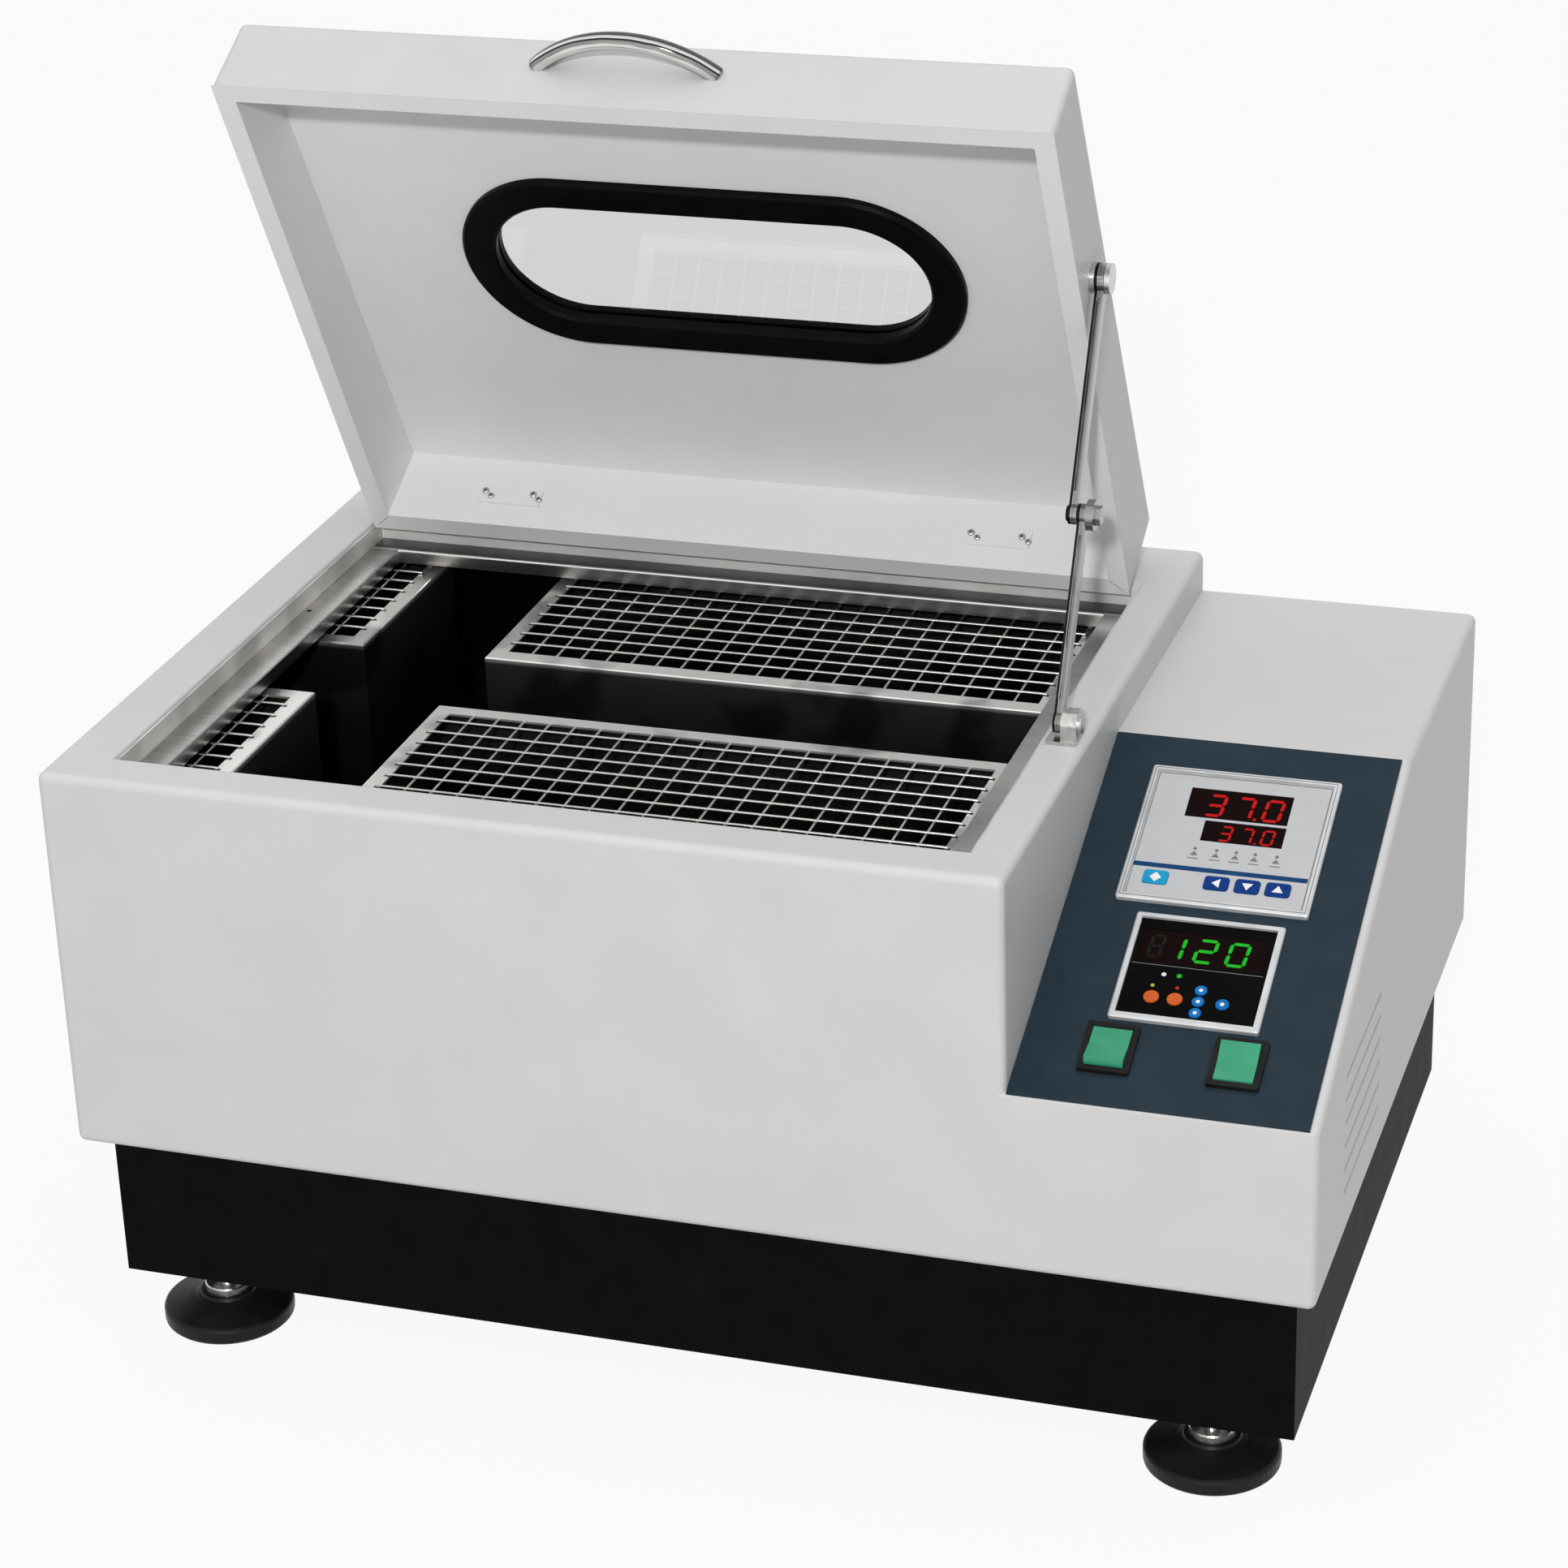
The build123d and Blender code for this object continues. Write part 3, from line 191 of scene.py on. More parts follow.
def within(axis, low, high, soft=0.0003):
    """Returns a builder of a mask: 1 where the object's X, Y or Z lies from low to high metres."""
    def build(nt):
        split = node(nt, "ShaderNodeSeparateXYZ")
        link(nt, coords(nt), "Vector", split, "Vector")
        rise = node(nt, "ShaderNodeMapRange")
        rise.inputs["From Min"].default_value = low - soft
        rise.inputs["From Max"].default_value = low + soft
        fall = node(nt, "ShaderNodeMapRange")
        fall.inputs["From Min"].default_value = high + soft
        fall.inputs["From Max"].default_value = high - soft
        both = node(nt, "ShaderNodeMath", operation="MULTIPLY")
        link(nt, split, axis, rise, "Value")
        link(nt, split, axis, fall, "Value")
        link(nt, rise, "Result", both, 0)
        link(nt, fall, "Result", both, 1)
        return both
    return build


def retouch(m, masks, low, high, cloud=30.0, metallic=None):
    """Gives sheet metal another tone, and a duller shine, where all the masks hold."""
    nt = m.node_tree
    p = nt.nodes["Principled BSDF"]
    before = p.inputs["Base Color"].links[0].from_socket
    mask = masks[0](nt)
    for other in masks[1:]:
        both = node(nt, "ShaderNodeMath", operation="MULTIPLY")
        link(nt, mask, 0, both, 0)
        link(nt, other(nt), 0, both, 1)
        mask = both
    soft = node(nt, "ShaderNodeTexNoise", Scale=cloud, Detail=2.0)
    link(nt, coords(nt), "Vector", soft, "Vector")
    tone = ramp(nt, [(0.36, warm(low)), (0.62, warm(high))])
    link(nt, soft, "Fac", tone, "Fac")
    mix = node(nt, "ShaderNodeMix", data_type="RGBA")
    link(nt, mask, 0, mix, 0)
    nt.links.new(before, mix.inputs[6])
    link(nt, tone, "Color", mix, 7)
    link(nt, mix, 2, p, "Base Color")
    if metallic is not None:
        dull = node(nt, "ShaderNodeMapRange")
        dull.inputs["To Min"].default_value = 1.0
        dull.inputs["To Max"].default_value = metallic
        link(nt, mask, 0, dull, "Value")
        link(nt, dull, "Result", p, "Metallic")


def metal_with_painted_reflections(name, direction, start, end, stops, rough=0.12):
    """Bright metal whose tone changes in bands along a direction, from start to end metres: painted
    reflections and highlights.
    """
    m, nt, p = material(name)
    at = coords(nt)
    along = node(nt, "ShaderNodeVectorMath", operation="DOT_PRODUCT")
    along.inputs[1].default_value = direction
    link(nt, at, "Vector", along, 0)
    drift = node(nt, "ShaderNodeTexNoise", Scale=55.0, Detail=1.0)
    link(nt, at, "Vector", drift, "Vector")
    part = node(nt, "ShaderNodeMapRange", clamp=False)
    part.inputs["From Min"].default_value = start
    part.inputs["From Max"].default_value = end
    link(nt, along, "Value", part, "Value")
    sway = node(nt, "ShaderNodeMath", operation="MULTIPLY_ADD")
    sway.inputs[1].default_value = 0.12
    link(nt, drift, "Fac", sway, 0)
    link(nt, part, "Result", sway, 2)
    tone = ramp(nt, [(pos, warm(v)) for pos, v in stops])
    link(nt, sway, 0, tone, "Fac")
    link(nt, tone, "Color", p, "Base Color")
    gloss = node(nt, "ShaderNodeMapRange")
    gloss.inputs["To Min"].default_value = rough - 0.03
    gloss.inputs["To Max"].default_value = rough + 0.03
    link(nt, drift, "Fac", gloss, "Value")
    link(nt, gloss, "Result", p, "Roughness")
    p.inputs["Metallic"].default_value = 1.0
    return m


def rack_metal(name, top):
    """Rack sheet: a pale polished rim at height top, its own tone lifted as painted reflection,
    walls that fall off into the dark as painted shade, and cloudy darker patches of painted
    reflection over all.
    """
    m, nt, p = material(name)
    at = coords(nt)
    split = node(nt, "ShaderNodeSeparateXYZ")
    link(nt, at, "Vector", split, "Vector")
    height = node(nt, "ShaderNodeMapRange")
    height.inputs["From Min"].default_value = top - 0.1
    height.inputs["From Max"].default_value = top
    link(nt, split, "Z", height, "Value")
    # near black down the walls, painted shade; pale at the rim, the steel's own tone lifted as
    # painted reflection
    tone = ramp(nt, [(0.0, warm(0.012)), (0.55, warm(0.03)),
                     (0.965, warm(0.09)), (0.985, warm(0.86))])
    link(nt, height, "Result", tone, "Fac")
    # cloudy darker patches: painted reflection
    cloud = node(nt, "ShaderNodeTexNoise", Scale=22.0, Detail=2.0)
    link(nt, at, "Vector", cloud, "Vector")
    shade = ramp(nt, [(0.38, grey(0.45)), (0.5, grey(1.0))])
    link(nt, cloud, "Fac", shade, "Fac")
    mix = node(nt, "ShaderNodeMix", data_type="RGBA", blend_type="MULTIPLY")
    mix.inputs[0].default_value = 1.0
    link(nt, tone, "Color", mix, 6)
    link(nt, shade, "Color", mix, 7)
    link(nt, mix, 2, p, "Base Color")
    gloss = node(nt, "ShaderNodeMapRange")
    gloss.inputs["To Min"].default_value = 0.22
    gloss.inputs["To Max"].default_value = 0.36
    link(nt, cloud, "Fac", gloss, "Value")
    link(nt, gloss, "Result", p, "Roughness")
    p.inputs["Metallic"].default_value = 0.85
    return m


WHITE = speckled("white_powder_coat", grey(0.60), grey(0.63), 0.42, scale=18, bump=0.22,
                 bump_scale=1400, shine=0.25)
# A lighter copy of the casing's white for the lid's inside, its hinge backings and its rim band:
# painted light standing in for the light that falls there.
LIGHTENED_WHITE = speckled("lightened_white", grey(0.79), grey(0.82), 0.36, scale=18, bump=0.12,
                 bump_scale=1400, shine=0.25)
BLACK = speckled("black_powder_coat", grey(0.003), grey(0.005), 0.5, bump=0.3, bump_scale=1500,
                 shine=0.025)
STEEL = sheet_metal("stainless_sheet", 0.30, 0.62, 0.27, 14.0, (0.5, 12, 12))
# The tank's lining, also on the platform: near black, painted shade deep in the tank.
TANK_PAINTED_SHADE = sheet_metal("stainless_lining_painted_shade", 0.014, 0.035, 0.30, 9.0, (0.5, 0.5, 12))
# Masks, in metres: the steel edge of the opening, in the steel's own pale tone, and its rear wall,
# paler still as a painted reflection; the ledge's rear band, painted shade; and the hem's bright
# line, a painted highlight.
EDGE = within("Z", 0.3165, 0.34)
REAR_EDGE_REFLECTION = within("Y", 0.1603, 0.17)
LEDGE_SHADE_TOP, LEDGE_SHADE_REAR = within("Z", 0.3194, 0.33), within("Y", 0.1464, 0.17)
HEM_HIGHLIGHT_TOP, HEM_HIGHLIGHT_REAR = within("Z", 0.3183, 0.33), within("Y", 0.1440, 0.1462)
retouch(TANK_PAINTED_SHADE, [EDGE], 0.52, 0.86, cloud=24.0, metallic=0.25)
# the opening's rear wall, paler still: a painted reflection
retouch(TANK_PAINTED_SHADE, [EDGE, REAR_EDGE_REFLECTION], 0.75, 0.85)
# the ledge's rear band, darkened to near black: painted shade
retouch(STEEL, [LEDGE_SHADE_TOP, LEDGE_SHADE_REAR], 0.030, 0.075)
# a bright line along the hem's bend at the rear: a painted highlight
retouch(STEEL, [HEM_HIGHLIGHT_TOP, HEM_HIGHLIGHT_REAR], 0.75, 0.85)
# The stay's arms: a dark band, a bright line and a grey side across each arm, painted reflections
# and a painted highlight.
ARM_LOW_REFLECTIONS = metal_with_painted_reflections("lower_arm_painted_reflections", (1, 0, 0), 0.1588, 0.1634,
                        [(0.0, 0.015), (0.34, 0.02), (0.40, 0.40), (0.48, 0.20), (1.0, 0.32)],
                        rough=0.24)
ARM_UP_REFLECTIONS = metal_with_painted_reflections("upper_arm_painted_reflections", (1, 0, 0), 0.1537, 0.1583,
                       [(0.0, 0.015), (0.34, 0.02), (0.40, 0.50), (0.48, 0.24), (1.0, 0.34)],
                       rough=0.20)
OUT_OF_RIM = (0, math.sin(TURN), math.cos(TURN))        # the closed lid's up, on the open lid
BOW_AT = (HINGE_Y * OUT_OF_RIM[1] + HINGE_Z * OUT_OF_RIM[2] + HANDLE_Z) * MM
# The handle's chrome: dark and bright bands round the tube, painted reflections.
HANDLE_REFLECTIONS = metal_with_painted_reflections("handle_chrome_painted_reflections", OUT_OF_RIM, BOW_AT - BOW_R * MM, BOW_AT + BOW_R * MM,
                             [(0.0, 0.85), (0.10, 0.70), (0.13, 0.25), (0.22, 0.30),
                              (0.25, 0.03), (0.31, 0.04), (0.34, 0.80), (0.46, 0.60),
                              (0.49, 0.08), (1.0, 0.16)], rough=0.10)
# the racks: painted shade down their walls, painted reflection on their rims
RACK_PAINTED_LIGHT = rack_metal("stainless_rack_painted_light", RACK_TOP * MM)
SPRING = brushed("spring_wire", warm(0.55), warm(0.72), 0.36, (30, 30, 30), bump=0.4)
SLATE = speckled("slate_panel", (0.017, 0.031, 0.044), (0.021, 0.037, 0.052), 0.24, bump=0.12,
                 bump_scale=1600, shine=0.08)
SILVER = speckled("silver_bezel", (0.55, 0.56, 0.57), (0.66, 0.67, 0.68), 0.3, metallic=0.3,
                  shine=0.4)
GREY_FACE = speckled("grey_film", (0.475, 0.487, 0.497), (0.50, 0.512, 0.522), 0.45,
                     shine=0.2)
BLACK_FACE = speckled("black_film", grey(0.0015), grey(0.003), 0.28, shine=0.03)
FILTER = speckled("display_filter", (0.005, 0.0015, 0.0015), (0.008, 0.002, 0.002), 0.2, shine=0.03)
LIGHT_BLUE = speckled("key_light_blue", (0.005, 0.27, 0.50), (0.009, 0.31, 0.55), 0.4, shine=0.15)
DARK_BLUE = speckled("key_dark_blue", (0.003, 0.032, 0.19), (0.005, 0.042, 0.22), 0.4, shine=0.08)
ORANGE = speckled("key_orange", (0.55, 0.10, 0.02), (0.62, 0.12, 0.026), 0.45, shine=0.1)
RING_BLUE = speckled("key_ring_blue", (0.004, 0.13, 0.42), (0.008, 0.17, 0.50), 0.45, shine=0.08)
GREEN = speckled("rocker_green", (0.024, 0.27, 0.14), (0.045, 0.35, 0.20), 0.18, scale=40,
                 shine=0.4)
PLASTIC = speckled("black_plastic", grey(0.006), grey(0.012), 0.4, bump=0.3, bump_scale=1800,
                   shine=0.15)
RUBBER = speckled("black_rubber", grey(0.002), grey(0.004), 0.36, bump=0.2, bump_scale=1200,
                  shine=0.05)
CHROME = speckled("chrome", warm(0.50), warm(0.62), 0.09, metallic=1.0, rough_spread=0.03)
ZINC = brushed("zinc_plate", warm(0.50), warm(0.66), 0.26, (8, 8, 8))
CAST = speckled("cast_metal", grey(0.09), grey(0.15), 0.55, metallic=0.7, bump=0.5, bump_scale=700)
ALUMINIUM = speckled("cast_aluminium", grey(0.5), grey(0.6), 0.4, metallic=1.0, bump=0.3)
WOOL = speckled("glass_wool", (0.55, 0.45, 0.18), (0.68, 0.58, 0.28), 0.9, scale=300, bump=0.8)
PRINT_WHITE = speckled("white_print", grey(0.75), grey(0.82), 0.5, scale=200, shine=0.1)
PRINT_BLUE = speckled("blue_print", (0.004, 0.042, 0.13), (0.006, 0.052, 0.15), 0.45, scale=200,
                      shine=0.1)
PRINT_GREY = speckled("grey_print", grey(0.16), grey(0.2), 0.5, scale=200, shine=0.1)
# Dark for the screws' slots and the marks where wires cross the rims: painted shade.
SHADE_DARK = speckled("painted_shade_dark", grey(0.015), grey(0.03), 0.5, scale=200, shine=0.1)
GHOST = speckled("unlit_segments", grey(0.004), grey(0.007), 0.4, scale=200, shine=0.1)
RED_LIGHT = glowing("red_segments", (0.46, 0.008, 0.008), 0.24)
GREEN_LIGHT = glowing("green_segments", (0.012, 0.40, 0.02), 0.22)
DIM_RED = glowing("dim_red", (0.35, 0.02, 0.01), 0.5)
DIM_YELLOW = glowing("dim_yellow", (0.30, 0.36, 0.03), 0.5)


def glass_material():
    m, nt, p = material("clear_glass")
    at = coords(nt)
    n1 = node(nt, "ShaderNodeTexNoise", Scale=30.0, Detail=2.0)
    link(nt, at, "Vector", n1, "Vector")
    mr = node(nt, "ShaderNodeMapRange")
    mr.inputs["To Min"].default_value = 0.0
    mr.inputs["To Max"].default_value = 0.03
    link(nt, n1, "Fac", mr, "Value")
    link(nt, mr, "Result", p, "Roughness")
    p.inputs["Base Color"].default_value = (0.74, 0.755, 0.755, 1)
    p.inputs["Transmission Weight"].default_value = 1.0
    p.inputs["IOR"].default_value = 1.45
    return m


GLASS = glass_material()

NODE_MATERIALS = {
    "casing": WHITE, "rear_panel": WHITE, "plinth": BLACK, "deck": ZINC, "tank": TANK_PAINTED_SHADE,
    "rim_ledge": STEEL, "insulation": WOOL, "control_panel": SLATE, "temp_housing": SILVER,
    "temp_face": GREY_FACE, "speed_housing": SILVER, "speed_face": BLACK_FACE,
    "display_windows": FILTER, "switch_bodies": PLASTIC, "hinge_leaves_fixed": ZINC,
    "hinge_pins": ZINC, "stay_bracket": ZINC, "bearing_housings": CAST, "motor": CAST,
    "drive_belt": RUBBER, "air_duct": ZINC, "heater": STEEL, "fan_motor": ALUMINIUM,
    "mains_inlet": PLASTIC, "lid_shell": WHITE, "lid_liner": LIGHTENED_WHITE, "window_glass": GLASS,
    "window_gasket": RUBBER, "handle": CHROME, "hinge_leaves_lid": ZINC, "hinge_backings": LIGHTENED_WHITE,
    "stay_boss": ZINC, "stay_lower_arm": ARM_LOW_REFLECTIONS, "stay_upper_arm": ARM_UP_REFLECTIONS, "platform": TANK_PAINTED_SHADE,
    "racks_narrow": RACK_PAINTED_LIGHT, "racks_wide": RACK_PAINTED_LIGHT, "spring_nets": SPRING, "drive_crank": ZINC,
    "driven_pulley": ALUMINIUM, "motor_pulley": ZINC, "idler_crank_left": ZINC,
    "idler_crank_right": ZINC, "fan_wheel": ALUMINIUM, "temp_key_set": LIGHT_BLUE,
    "temp_key_shift": DARK_BLUE, "temp_key_down": DARK_BLUE, "temp_key_up": DARK_BLUE,
    "speed_key_start": ORANGE, "speed_key_stop": ORANGE, "speed_key_up": RING_BLUE,
    "speed_key_set": RING_BLUE, "speed_key_down": RING_BLUE, "speed_key_mode": RING_BLUE,
    "power_rocker": GREEN, "start_rocker": GREEN, "foot_front_left": PLASTIC,
    "foot_front_right": PLASTIC, "foot_back_left": PLASTIC, "foot_back_right": PLASTIC,
}
for name, mat in NODE_MATERIALS.items():
    mesh = nodes[name].data
    mesh.materials.clear()
    mesh.materials.append(mat)


# ------------------------------------------------------------------ drawing frames
def slope_point(x, s, h):
    """A point on the console's slope: across, down from the upper fold, and out."""
    return Vector((x, FOLD_Y - s * SLOPE_RUN / SLOPE - h * SLOPE_RISE / SLOPE,
                   FOLD_Z - s * SLOPE_RISE / SLOPE + h * SLOPE_RUN / SLOPE)) * MM


def lid_point(x, y, z):
    """A point of the lid, given closed and from the hinge axis, on the open lid."""
    return Vector((x, HINGE_Y + y * math.cos(TURN) + z * math.sin(TURN),
                   HINGE_Z - y * math.sin(TURN) + z * math.cos(TURN))) * MM


def world_point(x, y, z):
    return Vector((x, y, z)) * MM


class Shape:
    """Collects faces in millimetres, through a frame, into one named mesh piece."""

    def __init__(self, place):
        self.place = place
        self.verts = []
        self.faces = []
        self.mats = []
        self.slot = 0

    def add(self, points, faces):
        base = len(self.verts)
        self.verts += [self.place(*p) for p in points]
        self.faces += [tuple(base + i for i in f) for f in faces]
        self.mats += [self.slot] * len(faces)

    def slab(self, outline, low, high):
        """A flat outline of (u, v) points given thickness from low to high."""
        n = len(outline)
        points = [(u, v, low) for u, v in outline] + [(u, v, high) for u, v in outline]
        faces = [tuple(range(n - 1, -1, -1)), tuple(range(n, 2 * n))]
        faces += [(i, (i + 1) % n, n + (i + 1) % n, n + i) for i in range(n)]
        self.add(points, faces)

    def turned(self, centre, profile, sides=32, axis=2):
        """A profile of (radius, height) points turned about an axis through centre."""
        rings = []
        points = []
        for r, h in profile:
            ring = []
            for k in range(sides):
                a = 2 * math.pi * k / sides
                c, s = r * math.cos(a), r * math.sin(a)
                p = {2: (c, s, h), 1: (s, h, c), 0: (h, c, s)}[axis]
                ring.append(len(points))
                points.append(tuple(centre[i] + p[i] for i in range(3)))
            rings.append(ring)
        faces = []
        for a, b in zip(rings, rings[1:]):
            faces += [(a[k], a[(k + 1) % sides], b[(k + 1) % sides], b[k]) for k in range(sides)]
        faces += [tuple(reversed(rings[0])), tuple(rings[-1])]
        self.add(points, faces)

    def piece(self, name, body, mats, slot=None, smooth=False, replaces=()):
        """Makes the mesh object, which rides on a body and may stand for CAD nodes."""
        mesh = bpy.data.meshes.new(name)
        mesh.from_pydata([tuple(v) for v in self.verts], [], self.faces)
        for m in mats:
            mesh.materials.append(m)
        for poly, index in zip(mesh.polygons, self.mats):
            poly.material_index = index
            poly.use_smooth = smooth
        bm = bmesh.new()
        bm.from_mesh(mesh)
        bmesh.ops.recalc_face_normals(bm, faces=bm.faces)
        bm.to_mesh(mesh)
        bm.free()
        ob = bpy.data.objects.new(name, mesh)
        bpy.context.collection.objects.link(ob)
        if replaces:
            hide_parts(*replaces)
        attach(ob, body)
        return ob


def rect(cx, cy, w, h):
    return [(cx - w / 2, cy - h / 2), (cx + w / 2, cy - h / 2),
            (cx + w / 2, cy + h / 2), (cx - w / 2, cy + h / 2)]


def round_outline(cx, cy, r, sides=24):
    return [(cx + r * math.cos(2 * math.pi * k / sides),
             cy + r * math.sin(2 * math.pi * k / sides)) for k in range(sides)]


# ------------------------------------------------------------------ displays and print
FACE_H = 3.1            # the instruments' face over the slope
PANE_H = FACE_H - 0.2   # display windows
KEY_TOP = FACE_H + 0.5
BEZEL_TOP = 4.5
PRINT_T = 0.08          # thickness of print
PRINT_TOP = FACE_H + PRINT_T
FIGURE_H = PANE_H + 0.02                    # the figures' underside, just off the window
LEAN = 0.09             # of the figures
SEGMENT_T, SEGMENT_GAP = 0.115, 0.18        # thickness over height, gap over thickness
TEMP_X, TEMP_S = LEFT + 578.6, 70.1         # middles of the two instruments
SPEED_X, SPEED_S = LEFT + 580.8, 159.0
SEGMENTS = {"0": "abcdef", "1": "bc", "2": "abged", "3": "abgcd", "7": "abc", "8": "abcdefg"}


def digit(shape, x, s, w, h, text):
    """Seven-segment figure whose top-left corner is at x, s on the slope."""
    t = h * SEGMENT_T
    gap = t * SEGMENT_GAP
    half = h / 2

    def put(points):
        shape.slab([(x + px + (h - py) * LEAN, s + py) for px, py in points],
                   FIGURE_H, FIGURE_H + PRINT_T)

    def bar(y):
        put([(gap + t / 2, y), (gap + t, y - t / 2), (w - gap - t, y - t / 2), (w - gap - t / 2, y),
             (w - gap - t, y + t / 2), (gap + t, y + t / 2)])

    def post(px, y0, y1):
        put([(px, y0 + gap), (px + t / 2, y0 + gap + t / 2), (px + t / 2, y1 - gap - t / 2),
             (px, y1 - gap), (px - t / 2, y1 - gap - t / 2), (px - t / 2, y0 + gap + t / 2)])

    for name in SEGMENTS[text]:
        if name in "agd":
            bar({"a": t / 2, "g": half, "d": h - t / 2}[name])
        else:
            px = w - t / 2 if name in "bc" else t / 2
            y0, y1 = (t / 2, half) if name in "bf" else (half, h - t / 2)
            post(px, y0, y1)


def figures(shape, text, left, top, w, h, pitch):
    """A row of seven-segment figures, pitch apart."""
    for i, ch in enumerate(text):
        digit(shape, left + i * pitch, top, w, h, ch)


lit_red = Shape(slope_point)
figures(lit_red, "370", left=TEMP_X - 17.4, top=TEMP_S - 30.5, w=9.8, h=15.6, pitch=14.8)
figures(lit_red, "370", left=TEMP_X - 6.8, top=TEMP_S - 9.4, w=6.6, h=10.6, pitch=10.8)
for dx, ds, r in ((9.4, -15.8, 0.9), (12.6, 0.5, 0.65)):      # decimal points
    lit_red.slab(round_outline(TEMP_X + dx, TEMP_S + ds, r), FIGURE_H, FIGURE_H + PRINT_T)
lit_red.piece("red_figures", "cabinet", [RED_LIGHT], "display_filter")

lit_green = Shape(slope_point)
figures(lit_green, "120", left=SPEED_X - 20.6, top=SPEED_S - 21.8, w=10.6, h=16.0, pitch=16.0)
lit_green.piece("green_figures", "cabinet", [GREEN_LIGHT], "display_filter")

ghost = Shape(slope_point)
digit(ghost, x=SPEED_X - 28.0, s=SPEED_S - 21.8, w=7.6, h=15.6, text="8")
ghost.piece("unlit_figure", "cabinet", [GHOST], "display_filter")

blue = Shape(slope_point)
blue.slab(rect(cx=TEMP_X - 0.4, cy=TEMP_S + 21.9, w=88.6, h=3.0), FACE_H, PRINT_TOP)
blue.piece("blue_line", "cabinet", [PRINT_BLUE], "grey_face")

# five indicators: a raised dot, a pointer under it and a stroke under that
DOT_S, DOT_R, DOT_RAISE = TEMP_S + 8.0, 0.9, 0.15
POINTER_TIP, POINTER_BASE, POINTER_HALF = TEMP_S + 9.6, TEMP_S + 12.6, 2.0
STROKE_S, STROKE_SIZE = TEMP_S + 14.6, (5.4, 0.6)
marks = Shape(slope_point)
for dx in (-16.0, -5.0, 5.0, 14.7, 25.7):
    x = TEMP_X + dx
    marks.slab(round_outline(x, DOT_S, DOT_R), FACE_H, PRINT_TOP + DOT_RAISE)
    marks.slab([(x - POINTER_HALF, POINTER_BASE), (x + POINTER_HALF, POINTER_BASE),
                (x, POINTER_TIP)], FACE_H, PRINT_TOP)
    marks.slab(rect(x, STROKE_S, *STROKE_SIZE), FACE_H, PRINT_TOP)
marks.piece("indicator_row", "cabinet", [PRINT_GREY], "grey_face")

frame_lines = Shape(slope_point)
# dark lines round the bezel and round the face: half width, half height, thickness and height
for half_w, half_s, w, top in ((46.9, 44.3, 0.4, BEZEL_TOP), (44.6, 42.0, 0.5, FACE_H)):
    for u, v, lw, ls in ((0, -half_s, 2 * half_w, w), (0, half_s, 2 * half_w, w),
                         (-half_w, 0, w, 2 * half_s), (half_w, 0, w, 2 * half_s)):
        frame_lines.slab(rect(TEMP_X + u, TEMP_S + v, lw, ls), top - 0.2, top + 0.06)
frame_lines.piece("bezel_lines", "cabinet", [PRINT_GREY], "silver_bezel")

rule = Shape(slope_point)
rule.slab(rect(cx=SPEED_X - 0.4, cy=SPEED_S - 1.8, w=65.5, h=0.35), FACE_H, PRINT_TOP)
rule.piece("grey_rule", "cabinet", [PRINT_GREY], "black_face")

for name, dx, ds, r, mat in (("white_lamp", -15.8, 3.8, 1.25, PRINT_WHITE),
                             ("green_lamp", -8.1, 3.8, 1.35, GREEN_LIGHT),
                             ("yellow_lamp", -19.8, 11.5, 1.0, DIM_YELLOW),
                             ("red_lamp", -7.5, 11.5, 1.0, DIM_RED)):
    lamp = Shape(slope_point)
    lamp.turned((SPEED_X + dx, SPEED_S + ds, FACE_H),
                [(r, 0), (r, 0.15), (r * 0.8, 0.3), (r * 0.3, 0.38)], 20)
    lamp.piece(name, "cabinet", [mat], "black_face", smooth=True)

# each key's sign: its place across, and its outline
SIGN_S = TEMP_S + 30.1
SIGNS = {
    "temp_key_set": (-31.6, [(0, -3.2), (3.0, 0), (0, 3.2), (-3.0, 0)]),
    "temp_key_shift": (-0.6, [(1.6, -2.9), (1.6, 2.9), (-2.4, 0)]),
    "temp_key_down": (15.0, [(-2.8, -1.9), (2.8, -1.9), (0, 2.6)]),
    "temp_key_up": (30.5, [(-2.8, 1.9), (2.8, 1.9), (0, -2.6)]),
}
for key, (dx, outline) in SIGNS.items():
    sign = Shape(slope_point)
    sign.slab([(TEMP_X + dx + u, SIGN_S + v) for u, v in outline], KEY_TOP, KEY_TOP + PRINT_T)
    sign.piece(key + "_sign", key, [PRINT_WHITE], "grey_face")

DOT_SHARE = 0.34        # a key's white dot over the key
for key, dx, ds, r in (("speed_key_up", 4.4, 11.6, 3.0), ("speed_key_set", 4.4, 18.9, 3.0),
                       ("speed_key_down", 4.4, 26.2, 3.0), ("speed_key_mode", 16.4, 18.9, 3.3)):
    dot = Shape(slope_point)
    dot.slab(round_outline(SPEED_X + dx, SPEED_S + ds, r * DOT_SHARE), KEY_TOP, KEY_TOP + PRINT_T)
    dot.piece(key + "_dot", key, [PRINT_WHITE], "grey_face")


